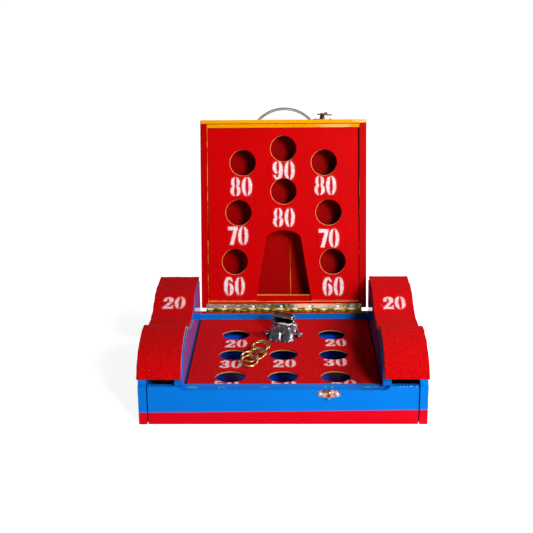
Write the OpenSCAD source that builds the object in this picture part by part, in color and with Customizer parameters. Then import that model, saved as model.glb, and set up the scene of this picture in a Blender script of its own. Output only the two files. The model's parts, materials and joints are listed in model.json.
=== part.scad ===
// Frog toss game: a painted box with two felt shoulders, a felt toss board with nine holes,
// a cast frog over the back middle hole, a ring drawer behind the front board, and a deep lid
// that stands open as a target with eight more holes.
// The origin is the centre of the underside; the player stands on the -Y side.

/* [Case] */
// Width over the two end boards
base_w = 431; // [400:1:470]
// Depth from the front board's face to the back of the rear wall
base_d = 336; // [324:1:380]
// Thickness of the end boards
end_t = 12.5; // [10:0.5:16]
// Thickness of the rear wall
rear_t = 12.5; // [10:0.5:16]
// Thickness of the bottom panel
floor_t = 5; // [3:0.5:8]
// Thickness of the front rail behind the front board
rail_t = 12; // [9:0.5:16]
// Width of each shoulder, from the end board's outer face to the well between them
shoulder_w = 67.5; // [60:0.5:75]
// Thickness of the boards on the inner side of the shoulders
inner_t = 12.5; // [10:0.5:16]
// Height of the front rail above the felt
rail_proud = 6.7; // [4:0.1:9]
// Height of the rear wall above the felt
wall_proud = 10.7; // [9:0.1:14]

/* [Toss board] */
// Thickness of the toss board
toss_t = 6; // [4:0.5:9]
// Thickness of the felt on the toss board
felt_t = 1.5; // [1:0.1:3]
// Gap round the edge of the toss board
toss_gap = 0.5; // [0.3:0.1:1.5]
// Diameter of the holes in the felt
hole_d = 43.8; // [38:0.2:48]
// Width of the bare wood ledge that shows inside each felt hole
hole_ledge = 0.7; // [0.3:0.1:1.5]
// Distance between the hole columns
hole_pitch_x = 81; // [70:1:90]
// Distance between the hole rows
hole_pitch_y = 91; // [80:1:94]
// Distance of the middle row in front of the middle of the case
hole_row_y = 12; // [8:1:16]
// Height of the cleats under the toss board
cleat_h = 8.9; // [6:0.1:12]
// Width of the cleats
cleat_w = 11; // [8:0.5:14]

/* [Shoulders] */
// Thickness of the bent ramp sheet
ramp_t = 3; // [2:0.25:4]
// Thickness of the felt on the shoulders
wing_felt_t = 2; // [1:0.25:3]
// Height of the felt's front edge above the rear wall's top
lip_rise = 11.5; // [7:0.5:14]
// Height of the crest above the rear wall's top
crest_rise = 57; // [50:0.5:66]
// Height of the dip above the rear wall's top
dip_rise = 37.5; // [30:0.5:48]
// Distance from the front to the crest
crest_run = 98; // [86:1:104]
// Distance from the front to the start of the dip
dip_run = 154; // [145:1:160]
// Length of the level stretch in the dip
dip_flat = 43; // [25:1:48]
// Length of the level stretch at the back of the shoulders
top_run = 55; // [40:1:60]
// How far the felt stands out over the end boards
felt_over_end = 1; // [0:0.25:3]
// How far the ramp and its felt run past the rear wall
felt_over_back = 5; // [0:0.5:8]
// How far the backs of the shoulders stand above the closed lid
back_lift = 2.4; // [0:0.2:4]
// How much higher the left shoulder's crest and dip are than the right one's
left_lift = 2.6; // [0:0.2:4]
// How much nearer to the player the left shoulder's rise lies
left_shift = 9; // [0:0.5:15]
// Width of the painted edge left bare on the inner boards
inner_edge = 2.5; // [1:0.25:6]

/* [Drawer] */
// Thickness of the front board
front_t = 9; // [7:0.5:9]
// Gap between the front board and each end board
front_gap = 1.7; // [0.8:0.1:3]
// Gap under the front board
front_lift = 1.5; // [0.6:0.1:4]
// Depth of the long notch in the front board's top edge
notch_depth = 6.2; // [5:0.1:7]
// How far the front rail lies below the front board's top edge
rail_below = 4.7; // [3:0.1:6]
// How far the notch runs past the well on each side
notch_over = 11; // [8:0.5:13]
// Radius of the notch's corners
notch_r = 9.5; // [7.5:0.5:12]
// Height of the drawer's sides
side_h = 26; // [20:1:32]
// Thickness of the drawer's sides and back
side_t = 9; // [6:0.5:12]
// Thickness of the drawer's bottom
tray_t = 4; // [3:0.5:6]
// Clear space between the closed drawer and the rear wall
drawer_gap = 24.5; // [10:0.5:80]
// Running gap under and above the drawer
drawer_run = 0.4; // [0.3:0.1:1]
// Clear height between the drawer's sides and the front rail
drawer_head = 2.5; // [1:0.1:5]

/* [Lid] */
// Gap between the closed lid and each shoulder
lid_side_gap = 2; // [1:0.5:6]
// Distance of the closed lid's face behind the front board's face
lid_set_back = 3.6; // [3:0.1:4.4]
// Depth of the lid
lid_depth = 58; // [50:0.5:70]
// Thickness of the lid's side boards
lid_side_t = 12.5; // [10:0.5:15]
// Thickness of the lid's hinge board
lid_rear_t = 11.7; // [11:0.1:14]
// Thickness of the lid's inner front board
lid_front_t = 7.2; // [6:0.1:10]
// Thickness of the lid's outer front facing
facing_t = 6.1; // [5:0.1:8]
// How far the facing hangs below the lid's rim
facing_drop = 5.8; // [4:0.1:5.9]
// Thickness of the lid's outer panel
back_t = 6; // [4:0.5:8]
// Thickness of the target panel
target_t = 5; // [4:0.5:7]
// How far the target panel lies behind the lid's rim
target_inset = 1; // [0.5:0.25:2]
// Gap between the target panel and the lid's boards
target_gap = 0.8; // [0.4:0.1:1.4]
// Diameter of the target holes
target_hole_d = 45; // [38:0.5:48]
// Width of the chamfer round the target holes
target_chamfer = 0.9; // [0.5:0.1:1.5]
// Thickness of the cleats behind the target panel
target_cleat_t = 11; // [8:0.5:14]
// Depth of the cleats behind the target panel
target_cleat_d = 12; // [8:0.5:16]
// Lean of the open lid behind the upright
lid_lean = 13.5; // [8:0.5:20]
// Half width of the arch at its foot
arch_foot = 49.5; // [46:0.5:54]
// Half width of the arch at its shoulders
arch_shoulder = 31; // [27:0.5:36]
// Height of the arch's shoulders above the hinge pin
arch_shoulder_h = 125; // [120:0.5:130]
// Height of the arch's round top above its shoulders
arch_rise = 16; // [14:0.5:20]

/* [Hinge] */
// Distance of the hinge's ends from the lid's sides
hinge_inset = 8.5; // [4:0.5:40]
// Width of each leaf from the pin's axis
leaf_w = 10.7; // [9.5:0.1:11]
// Thickness of the leaves
leaf_t = 0.9; // [0.7:0.1:1.2]
// Gap between the closed leaves
leaf_gap = 0.5; // [0.4:0.1:0.8]
// Radius of the knuckles
knuckle_r = 2; // [1.8:0.1:2.4]
// Length of one knuckle
knuckle_l = 12.5; // [10:0.5:15]
// Radius of the hinge pin
pin_r = 1; // [0.8:0.05:1.2]
// Distance between the screws of one leaf
hinge_screw_pitch = 50; // [40:1:50]
// Radius of the hinge screws' heads
hinge_head_r = 2.1; // [1.6:0.1:2.4]

/* [Handle and latch] */
// Distance between the handle's legs
handle_w = 95; // [80:1:120]
// Height of the handle above the lid's front
handle_h = 21.5; // [18:0.5:34]
// Distance of the handle's middle from the middle of the lid
handle_x = 2; // [-6:0.5:6]
// Radius of the handle's bar
bar_r = 2.4; // [2:0.1:3]
// Distance of the handle's legs behind the lid's rim
handle_in = 28; // [20:1:36]
// Distance of the latch from the middle of the case
latch_x = 68.5; // [40:0.5:100]
// Length of the latch plates
plate_l = 34; // [28:0.5:40]
// Height of the latch plates
plate_h = 13.7; // [12:0.1:16]
// Thickness of the latch plates
plate_t = 1.2; // [0.8:0.1:1.6]
// Radius of the plates' ends
plate_end_r = 4.6; // [4:0.1:5.5]
// Thickness of the swinging hook
hook_t = 1.8; // [1.2:0.1:2]
// Swing of the hook from its catching place to its open place
hook_swing = 130; // [100:5:150]
// Radius of the hook's rivet
rivet_r = 1.6; // [1.2:0.1:2]
// Radius of the peg's neck
neck_r = 1.6; // [1.2:0.1:1.8]
// Radius of the ball on the peg
ball_r = 2.6; // [2.2:0.1:3]
// Droop of the peg
peg_droop = 20; // [10:1:24]
// Length of the peg from the board to the middle of its ball
peg_l = 9.5; // [9.4:0.1:12]
// Radius of the latch screws' heads
latch_head_r = 1.9; // [1.5:0.1:2.2]

/* [Frog and rings] */
// Length of the frog from its front toes to its back
frog_l = 61; // [54:1:64]
// Width of the frog over its hind toes
frog_w = 66; // [58:1:70]
// Height of the frog above the felt
frog_h = 37.5; // [32:0.5:42]
// Radius of the frog's throat at the felt
throat_r = 17.5; // [15:0.5:19]
// Outer diameter of the tossing rings
ring_d = 28.5; // [26:0.5:28.5]
// Diameter of the rings' wire
wire_d = 3.5; // [3:0.1:3.5]
// Tilt of the leaning rings
ring_tilt = 20; // [18:0.5:20]

/* [Hidden] */
$fn = 64;

case_blue = "#0a78e0";
deep_red = "#b4101a";
felt_red = "#b41820";
lid_yellow = "#ffb400";
bare_wood = "#caa06a";
brass = "#b39a5a";
copper = "#a87862";
pewter = "#85858c";
chrome = "#c9cbd0";

// Cuts run this far past the faces that they open
past = 1;

// Levels, from the table up
drawer_z = floor_t + drawer_run;
rail_z = drawer_z + side_h + drawer_head;
toss_z = rail_z + cleat_h;
felt_z = toss_z + toss_t + felt_t;
notch_z = felt_z + rail_proud;
front_h = notch_z + rail_below;
notch_floor_z = front_h - notch_depth;
wall_z = felt_z + wall_proud;
end_front_z = front_h - 1.4;

// Places across and along the case
end_x = base_w / 2 - end_t;
well_w = base_w - 2 * shoulder_w;
well_x = well_w / 2;
inner_x = well_x + inner_t;
front_y = -base_d / 2;
back_y = base_d / 2;
rail_y = front_y + front_t + 0.3;
rail_back_y = rail_y + rail_t;
rear_y = back_y - rear_t;
middle_row_y = -hole_row_y;

// Hinge: the pin lies just behind the rear wall, and the closed leaves lie face to face
pin_y = back_y + knuckle_r + 0.4;
pin_z = wall_z + leaf_t + leaf_gap / 2;
rim_v = leaf_t + leaf_gap / 2;
lid_u0 = knuckle_r + 1.6;
lid_u1 = pin_y - front_y - lid_set_back;
lid_w = well_w - 2 * lid_side_gap;
lid_x = lid_w / 2;
hinge_l = lid_w - 2 * hinge_inset;
lid_in_x = lid_x - lid_side_t;
lid_in_u0 = lid_u0 + lid_rear_t;
lid_in_u1 = lid_u1 - facing_t - lid_front_t;
target_v = rim_v + target_inset;
cleat_v = target_v + target_t;
back_v = rim_v + lid_depth - back_t;

top_z = pin_z + rim_v + lid_depth - 0.3 + back_lift;
lip_z = wall_z + lip_rise;
crest_z = wall_z + crest_rise;
dip_z = wall_z + dip_rise;
wing_skin = ramp_t + wing_felt_t;

// Felt surface of a shoulder from front to back, as [y, z]: a quarter ellipse up to the crest,
// half a cosine wave down to the dip, a level stretch, and half a cosine wave up to the back
nose_n = 18;
wave_n = 14;
rise_run = base_d - dip_run - dip_flat - top_run;
function wing_line(side) =
    let (lift = side < 0 ? left_lift : 0,
         rise_y = front_y + dip_run + dip_flat - (side < 0 ? left_shift : 0),
         crest = crest_z + lift,
         dip = dip_z + lift)
    concat(
        [for (i = [0:nose_n]) let (a = 180 - 90 * i / nose_n)
            [front_y + crest_run * (1 + cos(a)), lip_z + (crest - lip_z) * sin(a)]],
        [for (i = [1:wave_n]) let (t = i / wave_n)
            [front_y + crest_run + (dip_run - crest_run) * t,
             crest + (dip - crest) * (1 - cos(180 * t)) / 2]],
        [for (i = [0:wave_n]) let (t = i / wave_n)
            [rise_y + rise_run * t, dip + (top_z - dip) * (1 - cos(180 * t)) / 2]],
        [[back_y, top_z]]
    );

// The same line moved inwards by d, square to the felt
function along(line, i) =
    i == 0 ? [0, 1] : i == len(line) - 1 ? [1, 0] : line[i + 1] - line[i - 1];
function inset_point(line, i, d) =
    let (t = along(line, i) / norm(along(line, i))) line[i] + d * [t[1], -t[0]];
function wing_inset(side, d) =
    let (line = wing_line(side)) [for (i = [0:len(line) - 1]) inset_point(line, i, d)];
function reversed(list) = [for (i = [len(list) - 1:-1:0]) list[i]];

// Extrudes a [y, z] outline along X from x0 to x1
module across(x0, x1) {
    translate([x0, 0, 0]) rotate([90, 0, 90]) linear_extrude(x1 - x0) children();
}

// A board given by its lowest and highest corners
module board(low, high) {
    translate(low) cube(high - low);
}

// Draws its children on the right for side 1 and mirrored on the left for side -1
module on_side(side) {
    mirror([side < 0 ? 1 : 0, 0, 0]) children();
}

// The lid's own frame: X across, Y into the depth of the lid, Z from the hinge pin to its front
module in_lid() {
    translate([0, pin_y, pin_z]) rotate([-lid_lean, 0, 0]) children();
}

// A ring-shaped solid of revolution with a rounded section
module torus(big_r, small_r) {
    rotate_extrude() translate([big_r, 0]) circle(small_r, $fn = 32);
}

// End board with its top cut to the shoulder's curve and a slanted ledge at the front
module end_board(side) {
    color(case_blue) on_side(side) across(end_x, base_w / 2) polygon(concat(
        [[front_y, 0], [front_y, end_front_z], [front_y + wing_skin, end_front_z + 4]],
        wing_inset(side, wing_skin),
        [[back_y, 0]]
    ));
}

module rear_wall() {
    color(case_blue) board([-end_x, rear_y, 0], [end_x, back_y, wall_z]);
}

module base_floor() {
    color(case_blue) board([-end_x, rail_y, 0], [end_x, rear_y, floor_t]);
}

// Rail between the end boards, under the front edge of the toss board
module front_rail() {
    color(case_blue) board([-end_x, rail_y, rail_z], [end_x, rail_back_y, notch_z]);
}

// Board on the inner side of a shoulder, notched over the front rail and the rear wall
module wing_inner_board(side) {
    block_z = front_h + 0.5;
    color(case_blue) on_side(side) across(well_x, inner_x) polygon(concat(
        [[rail_back_y, rail_z], [rail_back_y, notch_z], [rail_y, notch_z], [rail_y, block_z],
         [front_y, block_z], [front_y, lip_z - 2.5]],
        wing_inset(side, wing_skin),
        [[back_y, wall_z], [rear_y, wall_z], [rear_y, rail_z]]
    ));
}

module wing_back(side) {
    color(case_blue) on_side(side)
        board([inner_x, rear_y, wall_z], [end_x, back_y, top_z - wing_skin]);
}

// A bent layer of the shoulder between two depths under the felt's surface
module wing_layer(side, x0, x1, outer, inner) {
    run_out = [felt_over_back, 0];
    top = wing_inset(side, outer);
    under = wing_inset(side, inner);
    last = len(top) - 1;
    across(x0, x1) polygon(concat(top, [top[last] + run_out, under[last] + run_out], reversed(under)));
}

module wing_ramp(side) {
    color(bare_wood) on_side(side)
        wing_layer(side, well_x + inner_edge, base_w / 2, wing_felt_t, wing_skin);
}

module wing_felt(side) {
    color(felt_red) on_side(side)
        wing_layer(side, well_x + inner_edge, base_w / 2 + felt_over_end, 0, wing_felt_t);
}

module at_toss_holes() {
    for (column = [-1:1]) for (row = [-1:1])
        translate([column * hole_pitch_x, middle_row_y + row * hole_pitch_y, 0]) children();
}

// A layer of the toss board with its nine holes
module toss_layer(z0, z1, d) {
    difference() {
        board([-well_x + toss_gap, rail_back_y + toss_gap, z0], [well_x - toss_gap, rear_y - toss_gap, z1]);
        at_toss_holes() translate([0, 0, z0 - past]) cylinder(d = d, h = z1 - z0 + 2 * past);
    }
}

module toss_board() {
    color(bare_wood) toss_layer(toss_z, toss_z + toss_t, hole_d - 2 * hole_ledge);
}

module toss_felt() {
    color(felt_red) toss_layer(toss_z + toss_t, felt_z, hole_d);
}

// Cleats on the four sides of the well that carry the toss board
module toss_board_cleats() {
    color(bare_wood) {
        for (side = [-1, 1]) on_side(side)
            board([well_x - cleat_w, rail_back_y + cleat_w, rail_z], [well_x, rear_y - cleat_w, toss_z]);
        board([-well_x, rail_back_y, rail_z], [well_x, rail_back_y + cleat_w, toss_z]);
        board([-well_x, rear_y - cleat_w, rail_z], [well_x, rear_y, toss_z]);
    }
}

// Front board of the drawer with the long notch that the closed lid hangs into
module drawer_front() {
    half = end_x - front_gap;
    notch_w = well_w + 2 * notch_over;
    color(case_blue) difference() {
        board([-half, front_y, front_lift], [half, front_y + front_t, front_h]);
        translate([0, front_y + front_t + past, 0]) rotate([90, 0, 0])
            linear_extrude(front_t + 2 * past) {
                translate([-notch_w / 2 + notch_r, notch_floor_z])
                    square([notch_w - 2 * notch_r, 2 * notch_r]);
                for (end = [-1, 1])
                    translate([end * (notch_w / 2 - notch_r), notch_floor_z + notch_r]) circle(notch_r);
            }
    }
}

drawer_y = front_y + front_t;
drawer_l = rear_y - drawer_gap - drawer_y;
tray_z = drawer_z + 3;

module drawer_side(side) {
    color(case_blue) on_side(side)
        board([end_x - front_gap - side_t, drawer_y, drawer_z],
              [end_x - front_gap, drawer_y + drawer_l, drawer_z + side_h]);
}

module drawer_back() {
    half = end_x - front_gap - side_t;
    color(case_blue)
        board([-half, drawer_y + drawer_l - side_t, drawer_z],
              [half, drawer_y + drawer_l, drawer_z + side_h]);
}

module drawer_floor() {
    half = end_x - front_gap - side_t;
    color(case_blue)
        board([-half, drawer_y, tray_z], [half, drawer_y + drawer_l - side_t, tray_z + tray_t]);
}

// Lozenge with a round middle and two round ends, as an exact outline
module plate_outline() {
    middle_r = plate_h / 2;
    reach = plate_l / 2 - plate_end_r;
    lean = acos((middle_r - plate_end_r) / reach);
    circle(middle_r);
    for (end = [-1, 1]) {
        translate([end * reach, 0]) circle(plate_end_r);
        polygon([for (tip = [[0, middle_r, 1], [reach, plate_end_r, 1], [reach, plate_end_r, -1],
                             [0, middle_r, -1]])
            [end * (tip[0] + tip[1] * cos(lean)), tip[2] * tip[1] * sin(lean)]]);
    }
}

plate_screw_x = plate_l / 2 - plate_end_r;

// Low domed screw head standing on a plate
module screw_head(r) {
    rise = 0.45 * r;
    ball = (r * r + rise * rise) / (2 * rise);
    intersection() {
        translate([0, 0, rise - ball]) sphere(ball);
        cylinder(r = r, h = rise);
    }
}

// The latch's frame on the front board: Z points towards the player
keeper_z = notch_z + 0.1 - plate_h / 2;
module at_keeper() {
    translate([latch_x, front_y, keeper_z]) rotate([90, 0, 0]) children();
}

// Neck of the peg, which stands in a blind hole in the plate's boss
module peg_neck() {
    foot = plate_t + 1.2;
    rotate([peg_droop, 0, 0]) translate([0, 0, foot]) cylinder(r = neck_r, h = peg_l - foot);
}

module keeper_plate() {
    color(copper) at_keeper() difference() {
        union() {
            linear_extrude(plate_t) plate_outline();
            translate([0, 0, plate_t]) screw_head(4.4);
        }
        peg_neck();
    }
}

// Peg that droops from the plate and ends in a ball for the hook
module keeper_peg() {
    color(copper) at_keeper() {
        peg_neck();
        rotate([peg_droop, 0, 0]) translate([0, 0, peg_l]) sphere(ball_r);
    }
}

module keeper_screws() {
    color(chrome) at_keeper() for (end = [-1, 1])
        translate([end * plate_screw_x, 0, plate_t]) screw_head(latch_head_r);
}

module lid_side(side) {
    color(deep_red) in_lid() on_side(side)
        board([lid_in_x, rim_v, lid_u0], [lid_x, back_v, lid_u1 - facing_t]);
}

module lid_rear_board() {
    color(deep_red) in_lid() board([-lid_in_x, rim_v, lid_u0], [lid_in_x, back_v, lid_in_u0]);
}

// Holes for the handle's legs through the lid's front
module handle_bores() {
    for (end = [-1, 1])
        translate([handle_x + end * handle_w / 2, rim_v + handle_in, lid_in_u1 - past])
            cylinder(r = bar_r + 0.05, h = lid_front_t + facing_t + 2 * past);
}

module lid_front_board() {
    color(lid_yellow) in_lid() difference() {
        board([-lid_in_x, rim_v, lid_in_u1], [lid_in_x, back_v, lid_in_u1 + lid_front_t]);
        handle_bores();
    }
}

// Outer facing of the lid's front, with a lip that drops into the front board's notch
module lid_front_facing() {
    color(lid_yellow) in_lid() difference() {
        board([-lid_x, rim_v - facing_drop, lid_u1 - facing_t], [lid_x, back_v, lid_u1]);
        handle_bores();
    }
}

module lid_back_panel() {
    color(deep_red) in_lid() board([-lid_x, back_v, lid_u0], [lid_x, back_v + back_t, lid_u1]);
}

// Centres of the target holes, across and down from the lid's front face
target_holes = [[0, 50.3], [-71.5, 74.8], [71.5, 74.8], [0, 125.3],
                [-79.5, 162.5], [79.5, 162.5], [-86.5, 249.4], [86.5, 249.4]];

// Arch through which the frog passes when the lid closes: straight sides and a half-ellipse top
arch_n = 24;
arch_line = concat(
    [[arch_foot, lid_in_u0 - past], [arch_shoulder, arch_shoulder_h]],
    [for (i = [1:arch_n - 1]) let (a = 180 * i / arch_n)
        [arch_shoulder * cos(a), arch_shoulder_h + arch_rise * sin(a)]],
    [[-arch_shoulder, arch_shoulder_h], [-arch_foot, lid_in_u0 - past]]
);

// Target panel: chamfered holes and the frog's arch
module target_panel() {
    half = lid_in_x - target_gap;
    color(deep_red) in_lid() difference() {
        board([-half, target_v, lid_in_u0 + target_gap],
              [half, target_v + target_t, lid_in_u1 - target_gap]);
        for (hole = target_holes) translate([hole[0], target_v, lid_u1 - hole[1]]) rotate([-90, 0, 0]) {
            translate([0, 0, -past]) cylinder(d = target_hole_d, h = target_t + 2 * past);
            translate([0, 0, -past]) cylinder(d1 = target_hole_d + 2 * (target_chamfer + past),
                d2 = target_hole_d, h = target_chamfer + past);
        }
        translate([0, target_v + target_t + past, 0]) rotate([90, 0, 0])
            linear_extrude(target_t + 2 * past) polygon(arch_line);
    }
}

// Strips behind the target panel along all four boards of the lid
module target_cleats() {
    v1 = cleat_v + target_cleat_d;
    u0 = lid_in_u0 + target_cleat_t;
    u1 = lid_in_u1 - target_cleat_t;
    color(deep_red) in_lid() {
        board([-lid_in_x, cleat_v, lid_in_u0], [lid_in_x, v1, u0]);
        board([-lid_in_x, cleat_v, u1], [lid_in_x, v1, lid_in_u1]);
        for (side = [-1, 1]) on_side(side)
            board([lid_in_x - target_cleat_t, cleat_v, u0], [lid_in_x, v1, u1]);
    }
}

// Screw places along one leaf, from the hinge's own row of punched holes
screw_shift = -4.3;
function screw_row(offset) = [
    for (k = [-4:4]) let (x = screw_shift + offset + k * hinge_screw_pitch)
        if (abs(x) < hinge_l / 2 - 3) x
];
leaf_screw_w = 5.9;
screw_seat = leaf_t - 0.15;

// One leaf with every other knuckle, the pin along X at the origin and the leaf towards +Z.
// Its wood side lies at Y = rim_v, and first says which knuckle it starts with.
module hinge_leaf(first, screws) {
    knuckles = hinge_l / knuckle_l;
    clear = knuckle_r + 0.3;
    difference() {
        union() {
            board([-hinge_l / 2, rim_v - leaf_t, clear], [hinge_l / 2, rim_v, leaf_w]);
            for (k = [first:2:knuckles - 1]) {
                x0 = -hinge_l / 2 + k * knuckle_l + 0.15;
                length = min(knuckle_l - 0.3, hinge_l / 2 - x0);
                translate([x0, 0, 0]) rotate([0, 90, 0]) cylinder(r = knuckle_r, h = length);
                board([x0, rim_v - leaf_t, 0], [x0 + length, rim_v, clear + 0.1]);
            }
        }
        translate([-hinge_l / 2 - past, 0, 0]) rotate([0, 90, 0])
            cylinder(r = pin_r + 0.05, h = hinge_l + 2 * past);
        for (x = screws) translate([x, rim_v - leaf_t, leaf_screw_w]) rotate([-90, 0, 0]) {
            translate([0, 0, -past]) cylinder(r = 1.1, h = leaf_t + 2 * past);
            cylinder(r1 = hinge_head_r + 0.05, r2 = 1.1, h = screw_seat);
        }
    }
}

// Countersunk screws of one leaf: a flush head and a short shank into the wood
module hinge_screws(screws) {
    for (x = screws) translate([x, rim_v - leaf_t, leaf_screw_w]) rotate([-90, 0, 0]) {
        cylinder(r1 = hinge_head_r, r2 = 1.05, h = screw_seat);
        cylinder(r = 1.05, h = leaf_t);
    }
}

// The base leaf is the lid's leaf turned over, so that it lies on the rear wall's top
module in_base_hinge() {
    translate([0, pin_y, pin_z]) rotate([90, 0, 0]) mirror([0, 1, 0]) children();
}

module hinge_leaf_base() {
    color(brass) in_base_hinge() hinge_leaf(0, screw_row(hinge_screw_pitch / 2));
}

module hinge_leaf_lid() {
    color(brass) in_lid() hinge_leaf(1, screw_row(0));
}

module hinge_pin() {
    color(brass) translate([-hinge_l / 2, pin_y, pin_z]) rotate([0, 90, 0])
        cylinder(r = pin_r, h = hinge_l);
}

module hinge_screws_base() {
    color(brass) in_base_hinge() hinge_screws(screw_row(hinge_screw_pitch / 2));
}

module hinge_screws_lid() {
    color(brass) in_lid() hinge_screws(screw_row(0));
}

// Bow handle: one arc of round bar, bent square at both ends into legs through the lid's front
module handle() {
    arc_r = (handle_w * handle_w / 4 + handle_h * handle_h) / (2 * handle_h);
    spread = asin(handle_w / 2 / arc_r);
    leg_l = lid_front_t + facing_t + 5;
    color(chrome) in_lid() translate([handle_x, rim_v + handle_in, lid_u1]) {
        translate([0, 0, handle_h - arc_r]) rotate([90, 0, 0]) rotate([0, 0, 90 - spread])
            rotate_extrude(angle = 2 * spread) translate([arc_r, 0]) circle(bar_r, $fn = 32);
        for (end = [-1, 1]) translate([end * handle_w / 2, 0, 0]) {
            sphere(bar_r);
            translate([0, 0, -leg_l]) cylinder(r = bar_r, h = leg_l);
        }
    }
}

// Washers and hexagon nuts on the handle's legs inside the lid
module handle_nuts() {
    nut_h = 1.4 * bar_r;
    washer_t = 0.4 * bar_r;
    color(chrome) in_lid() for (end = [-1, 1])
        translate([handle_x + end * handle_w / 2, rim_v + handle_in, lid_in_u1 - nut_h - washer_t])
        difference() {
            union() {
                cylinder(r = 1.75 * bar_r, h = nut_h, $fn = 6);
                translate([0, 0, nut_h - 0.1]) cylinder(r = 2.5 * bar_r, h = washer_t + 0.1);
            }
            translate([0, 0, -past]) cylinder(r = bar_r + 0.05, h = nut_h + washer_t + 2 * past);
        }
}

// Latch on the lid's facing: its lower edge is level with the facing's lip
latch_v = rim_v - facing_drop + plate_h / 2;
hook_u = 8.2;
module at_latch() {
    in_lid() translate([latch_x, latch_v, lid_u1]) children();
}

module latch_plate() {
    color(copper) at_latch() {
        linear_extrude(plate_t) plate_outline();
        translate([0, 0, plate_t]) cylinder(r1 = 4.9, r2 = 3.6, h = hook_u - plate_t - 0.3);
    }
}

// Rivet that carries the hook: a shank through the hook under a domed head
module latch_rivet() {
    color(copper) at_latch() {
        translate([0, 0, hook_u - 0.3]) cylinder(r = rivet_r, h = hook_t + 0.6);
        translate([0, 0, hook_u + hook_t + 0.3]) screw_head(3.4);
    }
}

module latch_screws() {
    color(chrome) at_latch() for (end = [-1, 1])
        translate([end * plate_screw_x, 0, plate_t]) screw_head(latch_head_r);
}

// Where the peg's neck stands when the lid is closed, from the rivet towards the player's floor
hook_plane_y = lid_u1 + hook_u + hook_t / 2 - pin_y;
neck_out = hook_plane_y + front_y;
catch_r = (pin_z + latch_v) - (keeper_z - neck_out * tan(peg_droop));
slot_r = neck_r / cos(peg_droop) + hook_t / 2 * tan(peg_droop) + 0.4;
hook_rest = hook_swing - 90;

// Swinging hook: a hub, a rounded tail, and an arm with a curved slot that takes the peg's neck
module latch_hook() {
    end_r = slot_r + 2.6;
    color(copper) at_latch() translate([0, 0, hook_u]) rotate([0, 0, hook_rest]) {
        difference() {
            linear_extrude(hook_t) union() {
                circle(5);
                translate([-7.5, 0]) circle(3.4);
                translate([-7.5, -2.6]) square([7.5, 5.2]);
                translate([0, -2.8]) square([catch_r, 5.6]);
                translate([catch_r, 0]) circle(end_r);
            }
            translate([0, 0, -past]) cylinder(r = rivet_r + 0.06, h = hook_t + 2 * past);
            translate([catch_r, 0, -past]) cylinder(r = slot_r, h = hook_t + 2 * past);
            translate([0, 0, -past]) rotate([0, 0, -50])
                rotate_extrude(angle = 50) translate([catch_r - slot_r, 0])
                    square([2 * slot_r, hook_t + 2 * past]);
        }
        translate([catch_r - 8, 2.0, 0]) cube([6, 1.6, hook_t + 3.6]);
    }
}

// Frog: measured from the middle of its hole, level with the felt, looking towards the player
frog_turn = -14;
module at_frog() {
    translate([0, middle_row_y + hole_pitch_y, felt_z]) rotate([0, 0, frog_turn])
        scale([frog_w / 66, frog_l / 61, frog_h / 37]) children();
}

// A ball of its own three half sizes, kept coarse because many of them are wrapped together
module blob(at, half) {
    translate(at) scale(half) sphere(1, $fn = 20);
}

// Skin stretched round blobs that are given as [place, half sizes]
module wrap(blobs) {
    hull() for (b = blobs) blob(b[0], b[1]);
}

// One bead of metal through a row of places, as thick as its half sizes
module bead(places, half) {
    for (i = [1:len(places) - 1]) wrap([[places[i - 1], half], [places[i], half]]);
}

// A webbed foot whose three toes fan out round its own direction
module foot(at, turn, reach, spread) {
    function tip(toe) = [reach * sin(spread * toe), -reach * cos(spread * toe), 0];
    translate(at) rotate([0, 0, turn]) {
        for (toe = [-1:1]) wrap([[[0, 0, 3.6], [4.6, 4.4, 3.6]], [tip(toe) + [0, 0, 1.6], [1.9, 2.1, 1.9]]]);
        wrap([[[0, 0, 1.4], [5, 4, 2]], [0.88 * tip(-1) + [0, 0, 1], [1.6, 1.6, 1.5]],
              [0.88 * tip(1) + [0, 0, 1], [1.6, 1.6, 1.5]]]);
    }
}

// Front leg: a fat cone from under the jaw that flares into a round lobe with three low toes
front_turn = 9;
module front_leg() {
    wrap([[[8.6, -8.5, 19], [7.6, 6.5, 5]], [[10.6, -19, 8.5], [9.8, 8.5, 8]], [[10, -13, 3], [10, 8, 5]]]);
    wrap([[[10.6, -19, 8.5], [9.8, 8.5, 8]], [[11.2, -28, 4.2], [10.6, 8.6, 5.6]],
          [[11.2, -30.5, 1.6], [10.8, 9, 3]]]);
    for (toe = [-1:1]) wrap([[[11.3, -29, 3], [5, 5, 4]],
        [[11.4 + 6.6 * toe, -37.8 + 2.6 * toe * toe, 1.4], [4, 4, 2.2]]]);
}

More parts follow.
